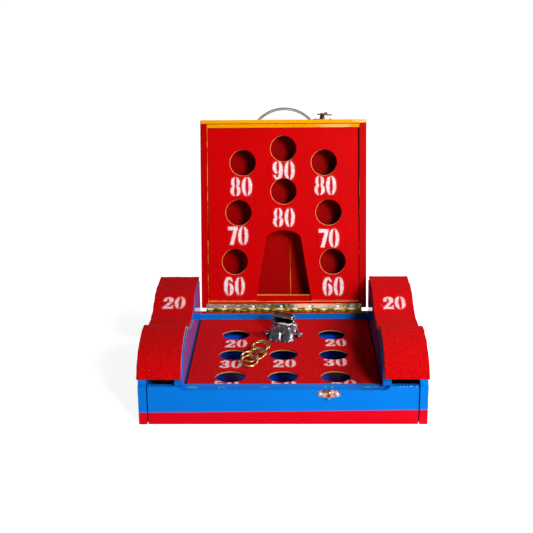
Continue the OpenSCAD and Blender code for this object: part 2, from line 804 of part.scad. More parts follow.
// Bell-shaped trunk, hood-shaped head, wide jaw, haunches and webbed feet
module frog_body() {
    wrap([[[0, -2, 4], [20, 18.5, 6]], [[0, 1, 22], [17, 15.5, 8]]]);
    wrap([[[0, 9, 8], [18, 13, 9]], [[0, 7, 25], [16, 11, 8]]]);
    wrap([[[-11, -9, 22], [7.5, 7.5, 2.6]], [[11, -9, 22], [7.5, 7.5, 2.6]], [[0, 0, 15], [14, 11, 6]]]);
    rotate([0, 0, front_turn]) wrap([[[-8, -8.5, 19], [7.2, 6, 5]], [[8, -8.5, 19], [7.2, 6, 5]],
        [[-6.5, -17.2, 9.6], [7.5, 8, 6.5]], [[6.5, -17.2, 9.6], [7.5, 8, 6.5]]]);
    wrap([[[-12.5, 0.5, 32.8], [5.6, 6.5, 3.3]], [[12.5, 0.5, 32.8], [5.6, 6.5, 3.3]],
          [[-11, 10, 28], [6, 6, 7]], [[11, 10, 28], [6, 6, 7]], [[0, 2, 33.4], [9, 7, 3.6]]]);
    bead([[-17.8, -3, 27], [-17.6, -9, 24.6], [-11, -15.4, 23.6], [11, -15.4, 23.6],
          [17.6, -9, 24.6], [17.8, -3, 27]], [2.1, 2.1, 1.9]);
    bead([[-17.8, -3, 27], [-15.5, -5, 31.3], [15.5, -5, 31.3], [17.8, -3, 27]], [1.9, 1.9, 1.7]);
    for (side = [-1, 1]) {
        rotate([0, 0, front_turn]) on_side(side) front_leg();
        on_side(side) {
            blob([12.4, 5, 33.6], [4.2, 4.2, 3.4]);
            wrap([[[15.5, 10, 10], [7, 11.5, 10]], [[18.5, 1, 4], [6, 7, 4.5]]]);
            wrap([[[16, -2, 26], [3, 5, 4.5]], [[15, 8, 24], [4, 6, 7]]]);
            foot([19.5, -1.5, 0], 76, 12.5, 34);
        }
    }
}

// Hollow that runs from the mouth down the throat to the hole
module frog_hollow() {
    hull() {
        translate([0, 0, -past]) cylinder(r = throat_r, h = past);
        blob([0, 2.5, 20], [12.5, 11.5, 8]);
    }
    lips = [[[-10.5, -8, 27.8], [5.6, 5.4, 3]], [[10.5, -8, 27.8], [5.6, 5.4, 3]]];
    wrap(concat([[[0, 4, 22], [13.5, 10, 6.5]]], lips));
    wrap(concat(lips, [[[-15, -26, 36], [9, 6, 5]], [[15, -26, 36], [9, 6, 5]]]));
}

module frog() {
    color(pewter) at_frog() intersection() {
        translate([-40, -60, 0]) cube([80, 100, 60]);
        difference() {
            frog_body();
            frog_hollow();
            at_frog_screws() cylinder(r = 2, h = 4);
        }
    }
}

// Places of the screws that hold the frog down, on its hind feet
module at_frog_screws() {
    for (side = [-1, 1]) translate([side * 25.6, -3.1, 4.8]) children();
}

module frog_screws() {
    color(brass) at_frog() at_frog_screws() screw_head(2);
}

// Rings from front to back as [x, y, rise off the felt, turn about Z], leaning on one another in
// the order 1 to 6: the second pair and the third lie face to face
ring_places = [
    [-53.3, -54.8, 0, 3], [-53.7, -39.6, 1.2, -2], [-42.8, -28.75, 1.1, 1],
    [-40.6, -20.9, 0, 1], [-38.4, 2.2, 0.8, -3], [-35.2, 11, 0, -3]
];

module ring(number) {
    place = ring_places[number - 1];
    big_r = (ring_d - wire_d) / 2;
    rest_z = big_r * sin(ring_tilt) + wire_d / 2 + 0.1;
    color(brass) translate([place[0], place[1], felt_z + rest_z + place[2]]) rotate([0, 0, place[3]])
        rotate([ring_tilt, 0, 0]) torus(big_r, wire_d / 2);
}

end_board(-1);  // end_board_left
end_board(1);  // end_board_right
rear_wall();
base_floor();
front_rail();
wing_inner_board(-1);  // wing_inner_board_left
wing_inner_board(1);  // wing_inner_board_right
wing_back(-1);  // wing_back_left
wing_back(1);  // wing_back_right
wing_ramp(-1);  // wing_ramp_left
wing_ramp(1);  // wing_ramp_right
wing_felt(-1);  // wing_felt_left
wing_felt(1);  // wing_felt_right
toss_board();
toss_board_cleats();
toss_felt();
frog();
frog_screws();
hinge_leaf_base();
hinge_pin();
hinge_screws_base();
drawer_front();
drawer_side(-1);  // drawer_side_left
drawer_side(1);  // drawer_side_right
drawer_back();
drawer_floor();
keeper_plate();
keeper_peg();
keeper_screws();
lid_side(-1);  // lid_side_left
lid_side(1);  // lid_side_right
lid_rear_board();
lid_front_board();
lid_front_facing();
lid_back_panel();
target_panel();
target_cleats();
hinge_leaf_lid();
hinge_screws_lid();
handle();
handle_nuts();
latch_plate();
latch_rivet();
latch_screws();
latch_hook();
ring(1);  // ring_1
ring(2);  // ring_2
ring(3);  // ring_3
ring(4);  // ring_4
ring(5);  // ring_5
ring(6);  // ring_6
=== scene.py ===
import contextlib
import functools
import json
import math

import bmesh
import bpy
import numpy as np
from mathutils import Matrix, Vector


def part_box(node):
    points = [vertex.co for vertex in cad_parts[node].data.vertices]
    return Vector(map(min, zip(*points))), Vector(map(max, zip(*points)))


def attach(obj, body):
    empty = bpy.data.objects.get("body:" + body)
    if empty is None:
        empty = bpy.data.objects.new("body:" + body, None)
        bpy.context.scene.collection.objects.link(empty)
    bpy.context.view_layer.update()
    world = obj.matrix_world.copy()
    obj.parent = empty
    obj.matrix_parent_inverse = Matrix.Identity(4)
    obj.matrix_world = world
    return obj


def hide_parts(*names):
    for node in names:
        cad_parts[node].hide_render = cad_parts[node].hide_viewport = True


bl_info = {
    "name": "Frog toss game",
    "version": (1, 0, 0),
    "blender": (4, 5, 0),
    "location": "3D View > Sidebar > Frog toss",
    "description": "Paints, felts and fits out a boxed frog toss game round its packed frame",
    "category": "Object",
}

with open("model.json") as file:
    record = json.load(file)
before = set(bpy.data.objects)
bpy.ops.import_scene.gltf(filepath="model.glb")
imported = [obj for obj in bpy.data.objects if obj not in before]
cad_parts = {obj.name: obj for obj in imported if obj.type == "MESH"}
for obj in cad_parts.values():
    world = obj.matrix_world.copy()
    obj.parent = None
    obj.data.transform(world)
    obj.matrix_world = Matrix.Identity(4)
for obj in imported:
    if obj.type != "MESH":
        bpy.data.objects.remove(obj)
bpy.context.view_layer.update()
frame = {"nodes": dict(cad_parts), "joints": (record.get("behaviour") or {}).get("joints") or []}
NODES = frame["nodes"]

MM = 0.001


# Sizes that the frame gives

HINGE = next(j for j in frame["joints"] if j["name"] == "lid_hinge")
PIN_Y, PIN_Z = HINGE["pos_m"][1], HINGE["pos_m"][2]
HOOK_AXIS = next(j for j in frame["joints"] if j["name"] == "hook_swing")["axis"]
LEAN = math.atan2(HOOK_AXIS[1], HOOK_AXIS[2])
RAIL_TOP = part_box("rear_wall")[1].z
FELT_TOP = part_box("toss_felt")[1].z
FRONT_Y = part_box("end_board_left")[0].y
BACK_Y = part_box("rear_wall")[1].y
END_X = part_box("end_board_right")[1].x
LID_INNER_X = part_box("lid_side_right")[0].x
KNUCKLE = 12.5 * MM  # one knuckle of the continuous hinge


def linear(code):
    """An sRGB hex code as linear red, green, blue and alpha."""
    channels = [int(code[i:i + 2], 16) / 255 for i in (1, 3, 5)]
    return *(c / 12.92 if c <= 0.04045 else ((c + 0.055) / 1.055) ** 2.4 for c in channels), 1.0


def eased(value, low, high):
    """0 below low, 1 above high, and smooth between them."""
    t = np.clip((value - low) / (high - low), 0, 1)
    return t * t * (3 - 2 * t)


def lid_point(x, u, v):
    """The row frame's point at x across, u up from the hinge pin and v into the lid's depth."""
    s, c = math.sin(LEAN), math.cos(LEAN)
    return np.stack([x + 0 * u, PIN_Y + u * s + v * c, PIN_Z + u * c - v * s], -1)


# Settings

def colour(label, text, code):
    """A colour setting that starts from an sRGB hex code."""
    return bpy.props.FloatVectorProperty(
        name=label, description=text, default=linear(code)[:3], subtype="COLOR",
        size=3, min=0, max=1)


def length(label, text, mm):
    """A length setting in metres that starts from millimetres."""
    return bpy.props.FloatProperty(
        name=label, description=text, default=mm * MM, unit="LENGTH", subtype="DISTANCE",
        precision=5)


def power(label, text, watts):
    """A lamp's power in watts."""
    return bpy.props.FloatProperty(name=label, description=text, default=watts, unit="POWER")


class FrogTossPaint(bpy.types.PropertyGroup):
    blue: colour("Case blue", "Gloss paint on the case and the drawer", "#0078DC")
    band: colour("Band red", "Painted band along the foot of the case", "#DC0019")
    red: colour("Lid red", "Satin paint on the lid's boards", "#BE0204")
    panel: colour("Panel red", "Satin paint on the target panel", "#CE0104")
    yellow: colour("Lid yellow", "Gloss paint on the lid's front boards", "#F6A802")
    numeral: colour("Numeral white", "Sprayed numerals", "#FFF4F6")
    band_h: length("Band height", "Height of the red band at the middle of the case", 21.2)
    easing: length("Edge easing", "Radius of the sanded edges of the boards", 0.7)


class FrogTossFelt(bpy.types.PropertyGroup):
    red: colour("Felt red", "Wool felt on the board and the shoulders", "#C60409")
    thickness: length("Shoulder felt", "Thickness of the felt on the shoulders", 2.0)
    ragged: length("Ragged edge", "How far the cut edge of the felt wanders", 0.45)
    spray: length("Spray edge", "Width of the soft edge of the numerals", 0.6)


class FrogTossMetal(bpy.types.PropertyGroup):
    pewter: colour("Frog", "Cast metal of the frog", "#8C8992")
    voxel: length("Frog detail", "Grid of the frog's smoothed skin", 0.55)


class FrogTossStage(bpy.types.PropertyGroup):
    floor: colour("Floor", "Pale floor under the game", "#E6E6E6")
    key: power("Key light", "Power of the soft light in front on the right", 37.0)
    side: power("Side light", "Power of the soft light close on the right", 9.0)
    front: power("Front light", "Power of the low light in front on the right", 5.0)
    fill: bpy.props.FloatProperty(
        name="Sky light", description="Strength of the even light from all round",
        default=0.035, min=0)


def settings(group):
    """The scene's settings of one group."""
    return getattr(bpy.context.scene, "frog_toss_" + group)


# Mesh helpers

def seeded_waves(shape_points, size, seed, octaves=3):
    """Smooth wandering values about 0: a sum of sine waves of random directions and phases.
    Each octave halves the wave length from size and halves the height."""
    rng = np.random.default_rng(seed)
    out = np.zeros(shape_points.shape[:-1])
    for octave in range(octaves):
        for _ in range(6):
            way = rng.normal(size=3)
            way *= 2 * math.pi / (size / 2 ** octave) / np.linalg.norm(way)
            out += np.sin(shape_points @ way + rng.uniform(0, 2 * math.pi)) / 2 ** octave
    return out / 4.2


def mesh_object(name, points, faces, smooth=True):
    """An object of a whole array of points and one of faces."""
    mesh = bpy.data.meshes.new(name)
    mesh.from_pydata(points.reshape(-1, 3).tolist(), [], faces.tolist())
    mesh.validate()
    mesh.polygons.foreach_set("use_smooth", np.full(len(mesh.polygons), smooth))
    obj = bpy.data.objects.new(name, mesh)
    bpy.context.scene.collection.objects.link(obj)
    return obj


@contextlib.contextmanager
def edited(obj):
    """Opens an object's mesh for editing, and puts it back at the end."""
    work = bmesh.new()
    work.from_mesh(obj.data)
    yield work
    work.to_mesh(obj.data)
    work.free()


def node_copy(name, node):
    """An object of its own with a copy of a CAD node's mesh."""
    obj = bpy.data.objects.new(name, NODES[node].data.copy())
    bpy.context.scene.collection.objects.link(obj)
    return obj


def vertex_values(mesh, kind="co"):
    """The places of all vertices, or their normals, as one array."""
    values = np.empty(len(mesh.vertices) * 3)
    mesh.vertices.foreach_get(kind, values)
    return values.reshape(-1, 3)


def wrapped_faces(at):
    """Quads between the rows of a grid of point numbers whose two ends meet."""
    after = np.roll(at, -1, 1)
    return np.stack([at[:-1], at[1:], after[1:], after[:-1]], -1).reshape(-1, 4)


def slab_faces(n, m):
    """Quads of a closed slab whose top grid holds points 0 to n*m-1, row after row, and whose
    bottom grid follows it: both skins, and four walls between their rims."""
    at = np.arange(n * m).reshape(n, m)
    top = np.stack([at[:-1, :-1], at[1:, :-1], at[1:, 1:], at[:-1, 1:]], -1).reshape(-1, 4)
    under = top[:, ::-1] + n * m
    rim = np.concatenate([at[0, :], at[1:, -1], at[-1, -2::-1], at[-2:0:-1, 0]])
    after = np.roll(rim, -1)
    walls = np.stack([rim, after, after + n * m, rim + n * m], -1)
    return np.concatenate([top, under, walls])


def closed_slab(name, top, bottom):
    """A slab between two grids of points of the same shape, one over the other."""
    points = np.concatenate([top.reshape(-1, 3), bottom.reshape(-1, 3)])
    obj = mesh_object(name, points, slab_faces(*top.shape[:2]))
    with edited(obj) as work:
        bmesh.ops.recalc_face_normals(work, faces=work.faces)
    return obj


def store(obj, name, values):
    """Keeps one number per vertex in the mesh, for its material to read."""
    obj.data.attributes.new(name, "FLOAT", "POINT").data.foreach_set(
        "value", np.ascontiguousarray(values.ravel(), np.float32))


def finish_piece(obj, finish, body, slot, *replaced):
    """Gives a piece its one material, the body it rides on and the nodes it stands for."""
    obj.data.materials.clear()
    obj.data.materials.append(finish)
    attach(obj, body)
    if replaced:
        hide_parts(*replaced)
    return obj


def paint_nodes(finish, *names):
    """Puts a material on CAD nodes that keep their shape."""
    for name in names:
        for place in NODES[name].material_slots:
            place.material = finish


def eased_board(node, finish, body, slot, radius):
    """The board with its sharp edges sanded round: the CAD mesh with its doubles merged, its flat
    faces joined again and a narrow bevel along every edge sharper than 35 degrees."""
    obj = node_copy("eased_" + node, node)
    with edited(obj) as work:
        bmesh.ops.remove_doubles(work, verts=work.verts, dist=0.01 * MM)
        bmesh.ops.dissolve_limit(
            work, angle_limit=math.radians(0.6), verts=work.verts, edges=work.edges, delimit=set())
        bmesh.ops.recalc_face_normals(work, faces=work.faces)
    if "custom_normal" in obj.data.attributes:
        obj.data.attributes.remove(obj.data.attributes["custom_normal"])
    obj.data.polygons.foreach_set("use_smooth", np.zeros(len(obj.data.polygons), bool))
    bevel = obj.modifiers.new("sanded edges", "BEVEL")
    bevel.width, bevel.segments = radius, 2
    bevel.limit_method, bevel.angle_limit = "ANGLE", math.radians(35)
    bevel.harden_normals = False
    return finish_piece(obj, finish, body, slot, node)


def pierced_slab(name, low, high, columns, rows, radius, thin, wander, seed, spacing=4 * MM):
    """A slab from low to high with a round hole in every cell of a grid. Samples at equal steps
    round a cell's border are joined to its hole by straight lines, where a hole point is centre +
    radius * direction, and rings of points follow those lines over the top, down the wall and
    back below. The slab is only thin in its field, and its outer border reaches low."""
    xs, ys = (np.concatenate([[a], (np.array(c[:-1]) + np.array(c[1:])) / 2, [b]])
              for a, b, c in ((low.x, high.x, columns), (low.y, high.y, rows)))
    points, faces, start = [], [], 0
    for i, cx in enumerate(columns):
        for j, cy in enumerate(rows):
            across = np.linspace(xs[i], xs[i + 1], int((xs[i + 1] - xs[i]) / spacing) + 1)
            along = np.linspace(ys[j], ys[j + 1], int((ys[j + 1] - ys[j]) / spacing) + 1)
            border = np.concatenate([
                np.stack([across[:-1], np.full(len(across) - 1, ys[j])], -1),
                np.stack([np.full(len(along) - 1, xs[i + 1]), along[:-1]], -1),
                np.stack([across[:0:-1], np.full(len(across) - 1, ys[j + 1])], -1),
                np.stack([np.full(len(along) - 1, xs[i]), along[:0:-1]], -1)])
            way = border - (cx, cy)
            way /= np.hypot(way[:, 0], way[:, 1])[:, None]
            flat = np.concatenate([way * radius + (cx, cy), np.zeros((len(way), 1))], -1)
            ragged = radius + wander * seeded_waves(flat, 9 * MM, seed + 3 * i + j)
            rim = (cx, cy) + way * ragged[:, None]
            outer = (np.isclose(border[:, 0], low.x) | np.isclose(border[:, 0], high.x)
                     | np.isclose(border[:, 1], low.y) | np.isclose(border[:, 1], high.y))
            under = np.where(outer, low.z, high.z - thin)
            rings = [(1.0, high.z), (0.4, high.z), (0.06, high.z), (0.0, high.z - 0.12 * thin),
                     (0.0, high.z - thin), (0.93, high.z - thin), (1.0, under)]
            grid = np.stack([
                np.concatenate([rim + (border - rim) * t, (z + 0 * under)[:, None]], -1)
                for t, z in rings])
            at = start + np.arange(len(rings) * len(way)).reshape(len(rings), len(way))
            points.append(grid.reshape(-1, 3))
            faces.append(wrapped_faces(at))
            start += at.size
    obj = mesh_object(name, np.concatenate(points), np.concatenate(faces), smooth=False)
    with edited(obj) as work:
        bmesh.ops.remove_doubles(work, verts=work.verts, dist=0.005 * MM)
        bmesh.ops.bridge_loops(work, edges=[e for e in work.edges if e.is_boundary])
        bmesh.ops.recalc_face_normals(work, faces=work.faces)
    return obj


def stretch_down(obj, under, foot):
    """Lowers the vertices that lie under a height to the foot."""
    spots = vertex_values(obj.data)
    spots[spots[:, 2] < under, 2] = foot
    obj.data.vertices.foreach_set("co", spots.ravel())


# Stencil numerals

# Each figure is a map of signed distance in millimetres, above 0 inside the paint, on a card
# 17.5 wide and 32 high with its middle at 0, 0.

def oval(x, y, cx, cy, rx, ry, power=2.0):
    """Distance inside an oval: power 2 is an ellipse, and more is squarer."""
    far = (np.abs((x - cx) / rx) ** power + np.abs((y - cy) / ry) ** power) ** (1 / power)
    return (1 - far) * min(rx, ry)


def block(x, y, x0, x1, y0, y1):
    """Distance inside a square-cornered block."""
    return np.minimum(np.minimum(x - x0, x1 - x), np.minimum(y - y0, y1 - y))


def stroke(x, y, x0, y0, x1, y1, half):
    """Distance inside a straight brush stroke with half its width given."""
    dx, dy = x1 - x0, y1 - y0
    t = np.clip(((x - x0) * dx + (y - y0) * dy) / (dx ** 2 + dy ** 2), 0, 1)
    return half - np.hypot(x - x0 - t * dx, y - y0 - t * dy)


def join(*shapes):
    """Distance inside any of the shapes."""
    return np.maximum.reduce(shapes)


def cut(shape, *holes):
    """Distance inside the shape and outside its holes."""
    return np.minimum.reduce([shape, *[-hole for hole in holes]])


def slit(x, y, cy, half, end, middle):
    """Distance inside the stencil's bridge: a lens from cy - half to cy + half, end wide at its
    tips and middle wide between them."""
    across = end + (middle - end) * np.clip(1 - ((y - cy) / half) ** 2, 0, 1)
    return np.minimum(across - np.abs(x), half + 2 - np.abs(y - cy))


def figure_nought(x, y):
    return cut(oval(x, y, 0, 0, 8.9, 16.0, 2.2), slit(x, y, 0, 16, 1.1, 3.0))


def figure_eight(x, y):
    body = join(oval(x, y, 0, 7.4, 7.5, 8.8, 2.3), oval(x, y, 0, -7.2, 8.9, 9.0, 2.2))
    return cut(body, slit(x, y, 8, 8, 1.3, 2.5), slit(x, y, -8, 8.3, 1.3, 3.1))


def figure_six(x, y):
    body = oval(x, y, 0, 0, 8.7, 16, 2.2)
    counter = oval(x, y, 1.4, 5.6, 3.3, 6.6)
    left = cut(np.minimum(body, 0.2 - x), counter)
    hook = cut(np.minimum(body, np.minimum(y - 8.0, x + 0.5)), counter)
    bowl = np.minimum(oval(x, y, 0.2, -5.4, 8.6, 10.6, 2.1), x + 0.2)
    return cut(join(left, hook, bowl), slit(x, y, -6, 10.4, 0.9, 2.5))


def figure_nine(x, y):
    return figure_six(-x, -y)


def figure_seven(x, y):
    leg = np.minimum(stroke(x, y, 5.4, 13.0, -2.8, -19, 3.0), np.minimum(y + 15.8, 15.8 - y))
    return join(block(x, y, -8.6, 8.6, 9.8, 15.8), leg)


def figure_two(x, y):
    arch = cut(oval(x, y, 0.3, 6.6, 8.2, 9.4, 2.2), oval(x, y, -1.4, 5.6, 2.8, 6.2))
    arch = np.minimum(arch, y - 3.5)
    ball = oval(x, y, -5.3, 7.8, 3.3, 3.2)
    slope = np.minimum(stroke(x, y, 6.0, 4.0, -5.6, -12, 2.6), np.minimum(y + 16, 6 - y))
    foot = join(block(x, y, -8.6, 8.6, -16, -10.9), block(x, y, 5.9, 8.6, -16, -6.8))
    return join(arch, ball, slope, foot)


def figure_three(x, y):
    upper = cut(oval(x, y, 0, 7.4, 8.0, 8.6, 2.2), oval(x, y, -1.6, 7.4, 3.2, 5.0))
    lower = cut(oval(x, y, 0, -7.2, 8.8, 8.9, 2.2), oval(x, y, -1.6, -7.2, 3.6, 5.4))
    balls = join(oval(x, y, -5.2, 9.6, 3.1, 3.0), oval(x, y, -5.4, -9.8, 3.3, 3.2))
    return join(np.minimum(join(upper, lower), x + 3.4), balls)


def figure_five(x, y):
    bar = join(block(x, y, -7.2, 8.0, 10.8, 16), block(x, y, -7.2, -3.6, -1.5, 16))
    bowl = cut(oval(x, y, 0.4, -6, 8.6, 10.2, 2.2), oval(x, y, -1.4, -6, 3.0, 6.2),
               block(x, y, -20, -2, -9.5, 0))
    return join(bar, bowl)


FIGURES = {"0": figure_nought, "2": figure_two, "3": figure_three, "5": figure_five,
           "6": figure_six, "7": figure_seven, "8": figure_eight, "9": figure_nine}
CARD_W, CARD_H = 17.5, 32.0


def sprayed(text, x, y, width, height, spray, seed):
    """How much paint lies at x, y in metres from the middle of the figures, from 0 to 1. The
    signed distance is softened over the spray's width, a thin mist lies outside it, and waves
    make the cover uneven."""
    gap = 0.8 if text[0] == "7" else 2.9
    whole = len(text) * CARD_W + (len(text) - 1) * gap
    px, py = x / width * whole, y / height * CARD_H
    inside = np.full(px.shape, -50.0)
    for i, mark in enumerate(text):
        middle = -whole / 2 + CARD_W / 2 + i * (CARD_W + gap)
        inside = np.maximum(inside, FIGURES[mark](px - middle, py))
    soft = spray / MM
    spots = np.stack([x, y, 0 * x], -1)
    inside = inside + 0.5 * seeded_waves(spots, 4 * MM, seed)
    cover = np.clip((inside + soft) / (2 * soft), 0, 1)
    cover = cover * cover * (3 - 2 * cover)
    uneven = 0.90 + 0.22 * seeded_waves(spots, 9 * MM, seed + 1)
    mist = 0.07 * np.exp(np.minimum(inside, 0) / 0.9)
    return np.clip(np.maximum(cover * uneven, mist), 0, 1)


def pushed_out(a, b, holes, radius):
    """Moves grid points that lie inside a round hole to its rim, straight out from its middle."""
    for ca, cb in holes:
        away = np.hypot(a - ca, b - cb)
        grow = np.where(away < radius, radius / np.maximum(away, 1e-6), 1)
        a, b = ca + (a - ca) * grow, cb + (b - cb) * grow
    return a, b


def numeral_sheet(name, text, place, size, spray, to_row, holes, radius, seed, step):
    """A closed film of paint, 0.05 mm proud, that carries one numeral: a flat grid whose points
    inside a hole are pushed out to the hole's rim. The film's own rim has no paint, so it has the
    colour of what it lies on."""
    margin = 3.4 * MM
    wide, high = size[0] / 2 + margin, size[1] / 2 + margin
    n, m = int(2 * wide / step) + 1, int(2 * high / step) + 1
    a, b = np.meshgrid(np.linspace(-wide, wide, n), np.linspace(-high, high, m), indexing="ij")
    cover = sprayed(text, a, b, size[0], size[1], spray, seed)
    rim = np.minimum(np.minimum(wide - np.abs(a), high - np.abs(b)) / margin, 1)
    cover = cover * np.clip(rim * 1.6, 0, 1)
    a, b = pushed_out(a + place[0], b + place[1], holes, radius)
    obj = closed_slab(name, to_row(a, b, 0.05 * MM), to_row(a, b, -0.15 * MM))
    store(obj, "spray", np.concatenate([cover.ravel(), cover.ravel()]))
    store(obj, "film", np.ones(2 * cover.size))
    with edited(obj) as work:
        bmesh.ops.dissolve_degenerate(work, dist=0.02 * MM, edges=work.edges)
    return obj


# Material helpers

def on(*names, **starts):
    """A node's inputs in the order of a call, with the values that some of them start from."""
    return {**dict.fromkeys(names), **starts}


# The kinds of node that the materials are made of: the node's type, its settings, its inputs, and
# the output that a call gives back, or None for all of them. The scale of clouds is how many
# patches fit in a metre, so it is written as 1000 over their size in millimetres.
NODE_KINDS = {
    "shader": ("BsdfPrincipled", {}, {}, 0),
    "surface": ("OutputMaterial", {}, on("Surface"), None),
    "place": ("TexCoord", {}, {}, None),
    "ray": ("LightPath", {}, {}, None),
    "stored": ("Attribute", {}, {}, "Fac"),
    "split": ("SeparateXYZ", {}, on(0), None),
    "stretch": ("Mapping", {}, on("Vector", "Scale"), 0),
    "turn": ("VectorRotate", {"rotation_type": "AXIS_ANGLE"}, on("Vector", "Axis", "Angle"), 0),
    "clouds": ("TexNoise", {}, on("Vector", "Scale", Detail=3.0, Roughness=0.55), 0),
    "mix": ("Mix", {"data_type": "RGBA"}, on(0, 6, 7), 2),
    "ease": ("MapRange", {"interpolation_type": "SMOOTHSTEP"},
             on("Value", "From Min", "From Max", "To Min", "To Max"), 0),
    "range": ("MapRange", {}, on("Value", "To Min", "To Max"), 0),
    "bump": ("Bump", {}, on("Height", "Strength", "Distance"), 0),
    "glow": ("Background", {}, on("Color", "Strength"), 0),
    "world": ("OutputWorld", {}, on("Surface"), None),
}
NODE_KINDS.update({
    word: ("VectorMath", {"operation": operation}, on(0, 1), result)
    for word, operation, result in (
        ("moved", "SUBTRACT", 0), ("apart", "DISTANCE", "Value"),
        ("facing", "DOT_PRODUCT", "Value"), ("length", "LENGTH", "Value"))})
NODE_KINDS.update({
    word: ("Math", {"operation": operation}, on(0, 1, 2), 0)
    for word, operation in (
        ("times", "MULTIPLY"), ("plus", "ADD"), ("minus", "SUBTRACT"),
        ("times plus", "MULTIPLY_ADD"), ("over", "GREATER_THAN"), ("under", "LESS_THAN"),
        ("larger", "MAXIMUM"), ("unsigned", "ABSOLUTE"), ("to and fro", "PINGPONG"))})


def feed(node, inputs):
    """Sets a node's inputs by name or number, each to a value or to the socket that feeds it."""
    for name, value in inputs.items():
        if isinstance(value, bpy.types.NodeSocket):
            node.id_data.links.new(value, node.inputs[name])
        elif value is not None:
            node.inputs[name].default_value = value


def add_node(tree, kind, *values, **more_settings):
    """Adds a node of one of the kinds above, with its settings and links, and gives its output."""
    node_type, own_settings, inputs, result = NODE_KINDS[kind]
    made = tree.nodes.new("ShaderNode" + node_type)
    for name, value in {**own_settings, **more_settings}.items():
        setattr(made, name, value)
    feed(made, {**inputs, **dict(zip(inputs, values))})
    return made.outputs if result is None else made.outputs[result]


def new_material(name):
    """An empty material, the function that adds nodes to it, its shader, and the sockets that
    hold the place and the normal of each point in the frame."""
    made = bpy.data.materials.new(name)
    made.use_nodes = True
    made.node_tree.nodes.clear()
    add = functools.partial(add_node, made.node_tree)
    shader = add("shader").node
    add("surface", shader.outputs[0])
    return made, add, shader, add("place")


def streaks(add, where, along, mm, reach=18):
    """Clouds stretched along one axis, as brush marks and grain are."""
    scale = [1.0, 1.0, 1.0]
    scale[along] = 1 / reach
    return add("clouds", add("stretch", where, scale), 1000 / mm, 2.0, 0.6)


def lid_place(add, spot):
    """Place in the lid's own frame, as X across, Y into the depth and Z up from the hinge pin."""
    return add("turn", add("moved", spot["Object"], (0, PIN_Y, PIN_Z)), (1, 0, 0), LEAN)


def spotted(add, where, places, radius_mm):
    """1 inside small round spots at the given places in millimetres, 0 outside."""
    found = 0.0
    for place in places:
        away = add("apart", where, tuple(c * MM for c in place))
        found = add("larger", add("ease", away, radius_mm * MM, radius_mm * 0.6 * MM), found)
    return found


def within(add, value, low, high):
    """1 where the value lies from low to high, 0 elsewhere."""
    return add("times", add("over", value, low), add("under", value, high))


def shade(rgb, factor):
    """A linear colour made darker or lighter."""
    return tuple(min(1.0, c * factor) for c in rgb[:3]) + (1.0,)


# Materials

# Where the case's paint is knocked off, in millimetres in the frame
WHITE_CHIPS = [(x, -168, z) for x, z in (
    (173.5, 61.8), (178.4, 61.6), (183.7, 61.8), (188.6, 61.7), (190.2, 61.6), (197.6, 61.7))]
GREEN_CHIPS = [(x, y, 57) for x, y in (
    (63.3, -158.5), (73.5, -158.5), (-139.5, -158), (-136.5, -157.6), (-133.5, -158),
    (-130.5, -158.4), (-94, -158.5), (-88, -158.5), (124, -158.5), (129, -158.5))]
SCUFF_Y, SCUFF_Z = -160.5 * MM, 56.0 * MM
BAND_SLOPE = 0.0100


def red_band(add, where, base):
    """The band along the foot of the case, on the outer faces only: a hand-painted edge that
    wanders and climbs to the right."""
    paint = settings("paint")
    x, y, z = add("split", where)
    wobble = add("times", add("clouds", where, 1000 / 14), 0.5 * MM)
    edge = add("plus", add("times plus", x, BAND_SLOPE, paint.band_h), wobble)
    side = add("over", add("unsigned", x), END_X - 1.5 * MM)
    front = add("under", y, FRONT_Y + 2.5 * MM)
    back = add("over", y, BACK_Y - 1.0 * MM)
    outside = add("larger", add("larger", side, front), back)
    red = add("mix", streaks(add, where, 0, 3.0), shade(paint.band, 0.93), shade(paint.band, 1.06))
    return add("mix", add("times", add("under", z, edge), outside), base, red)


def old_green(add, where, base):
    """The lid's front has rubbed the edge below it down to an older green coat."""
    _, y, z = add("split", where)
    off = add("unsigned", add("plus", y, -SCUFF_Y))
    strip = add("times", add("ease", off, 4.2 * MM, 1.8 * MM), add("over", z, SCUFF_Z))
    worn = add("times", strip, add("ease", streaks(add, where, 0, 7.0, 4), 0.60, 0.68))
    green = add("mix", add("clouds", where, 1000 / 4), linear("#12A878"), linear("#8FBF4A"))
    return add("mix", add("times", worn, 0.85), base, green)


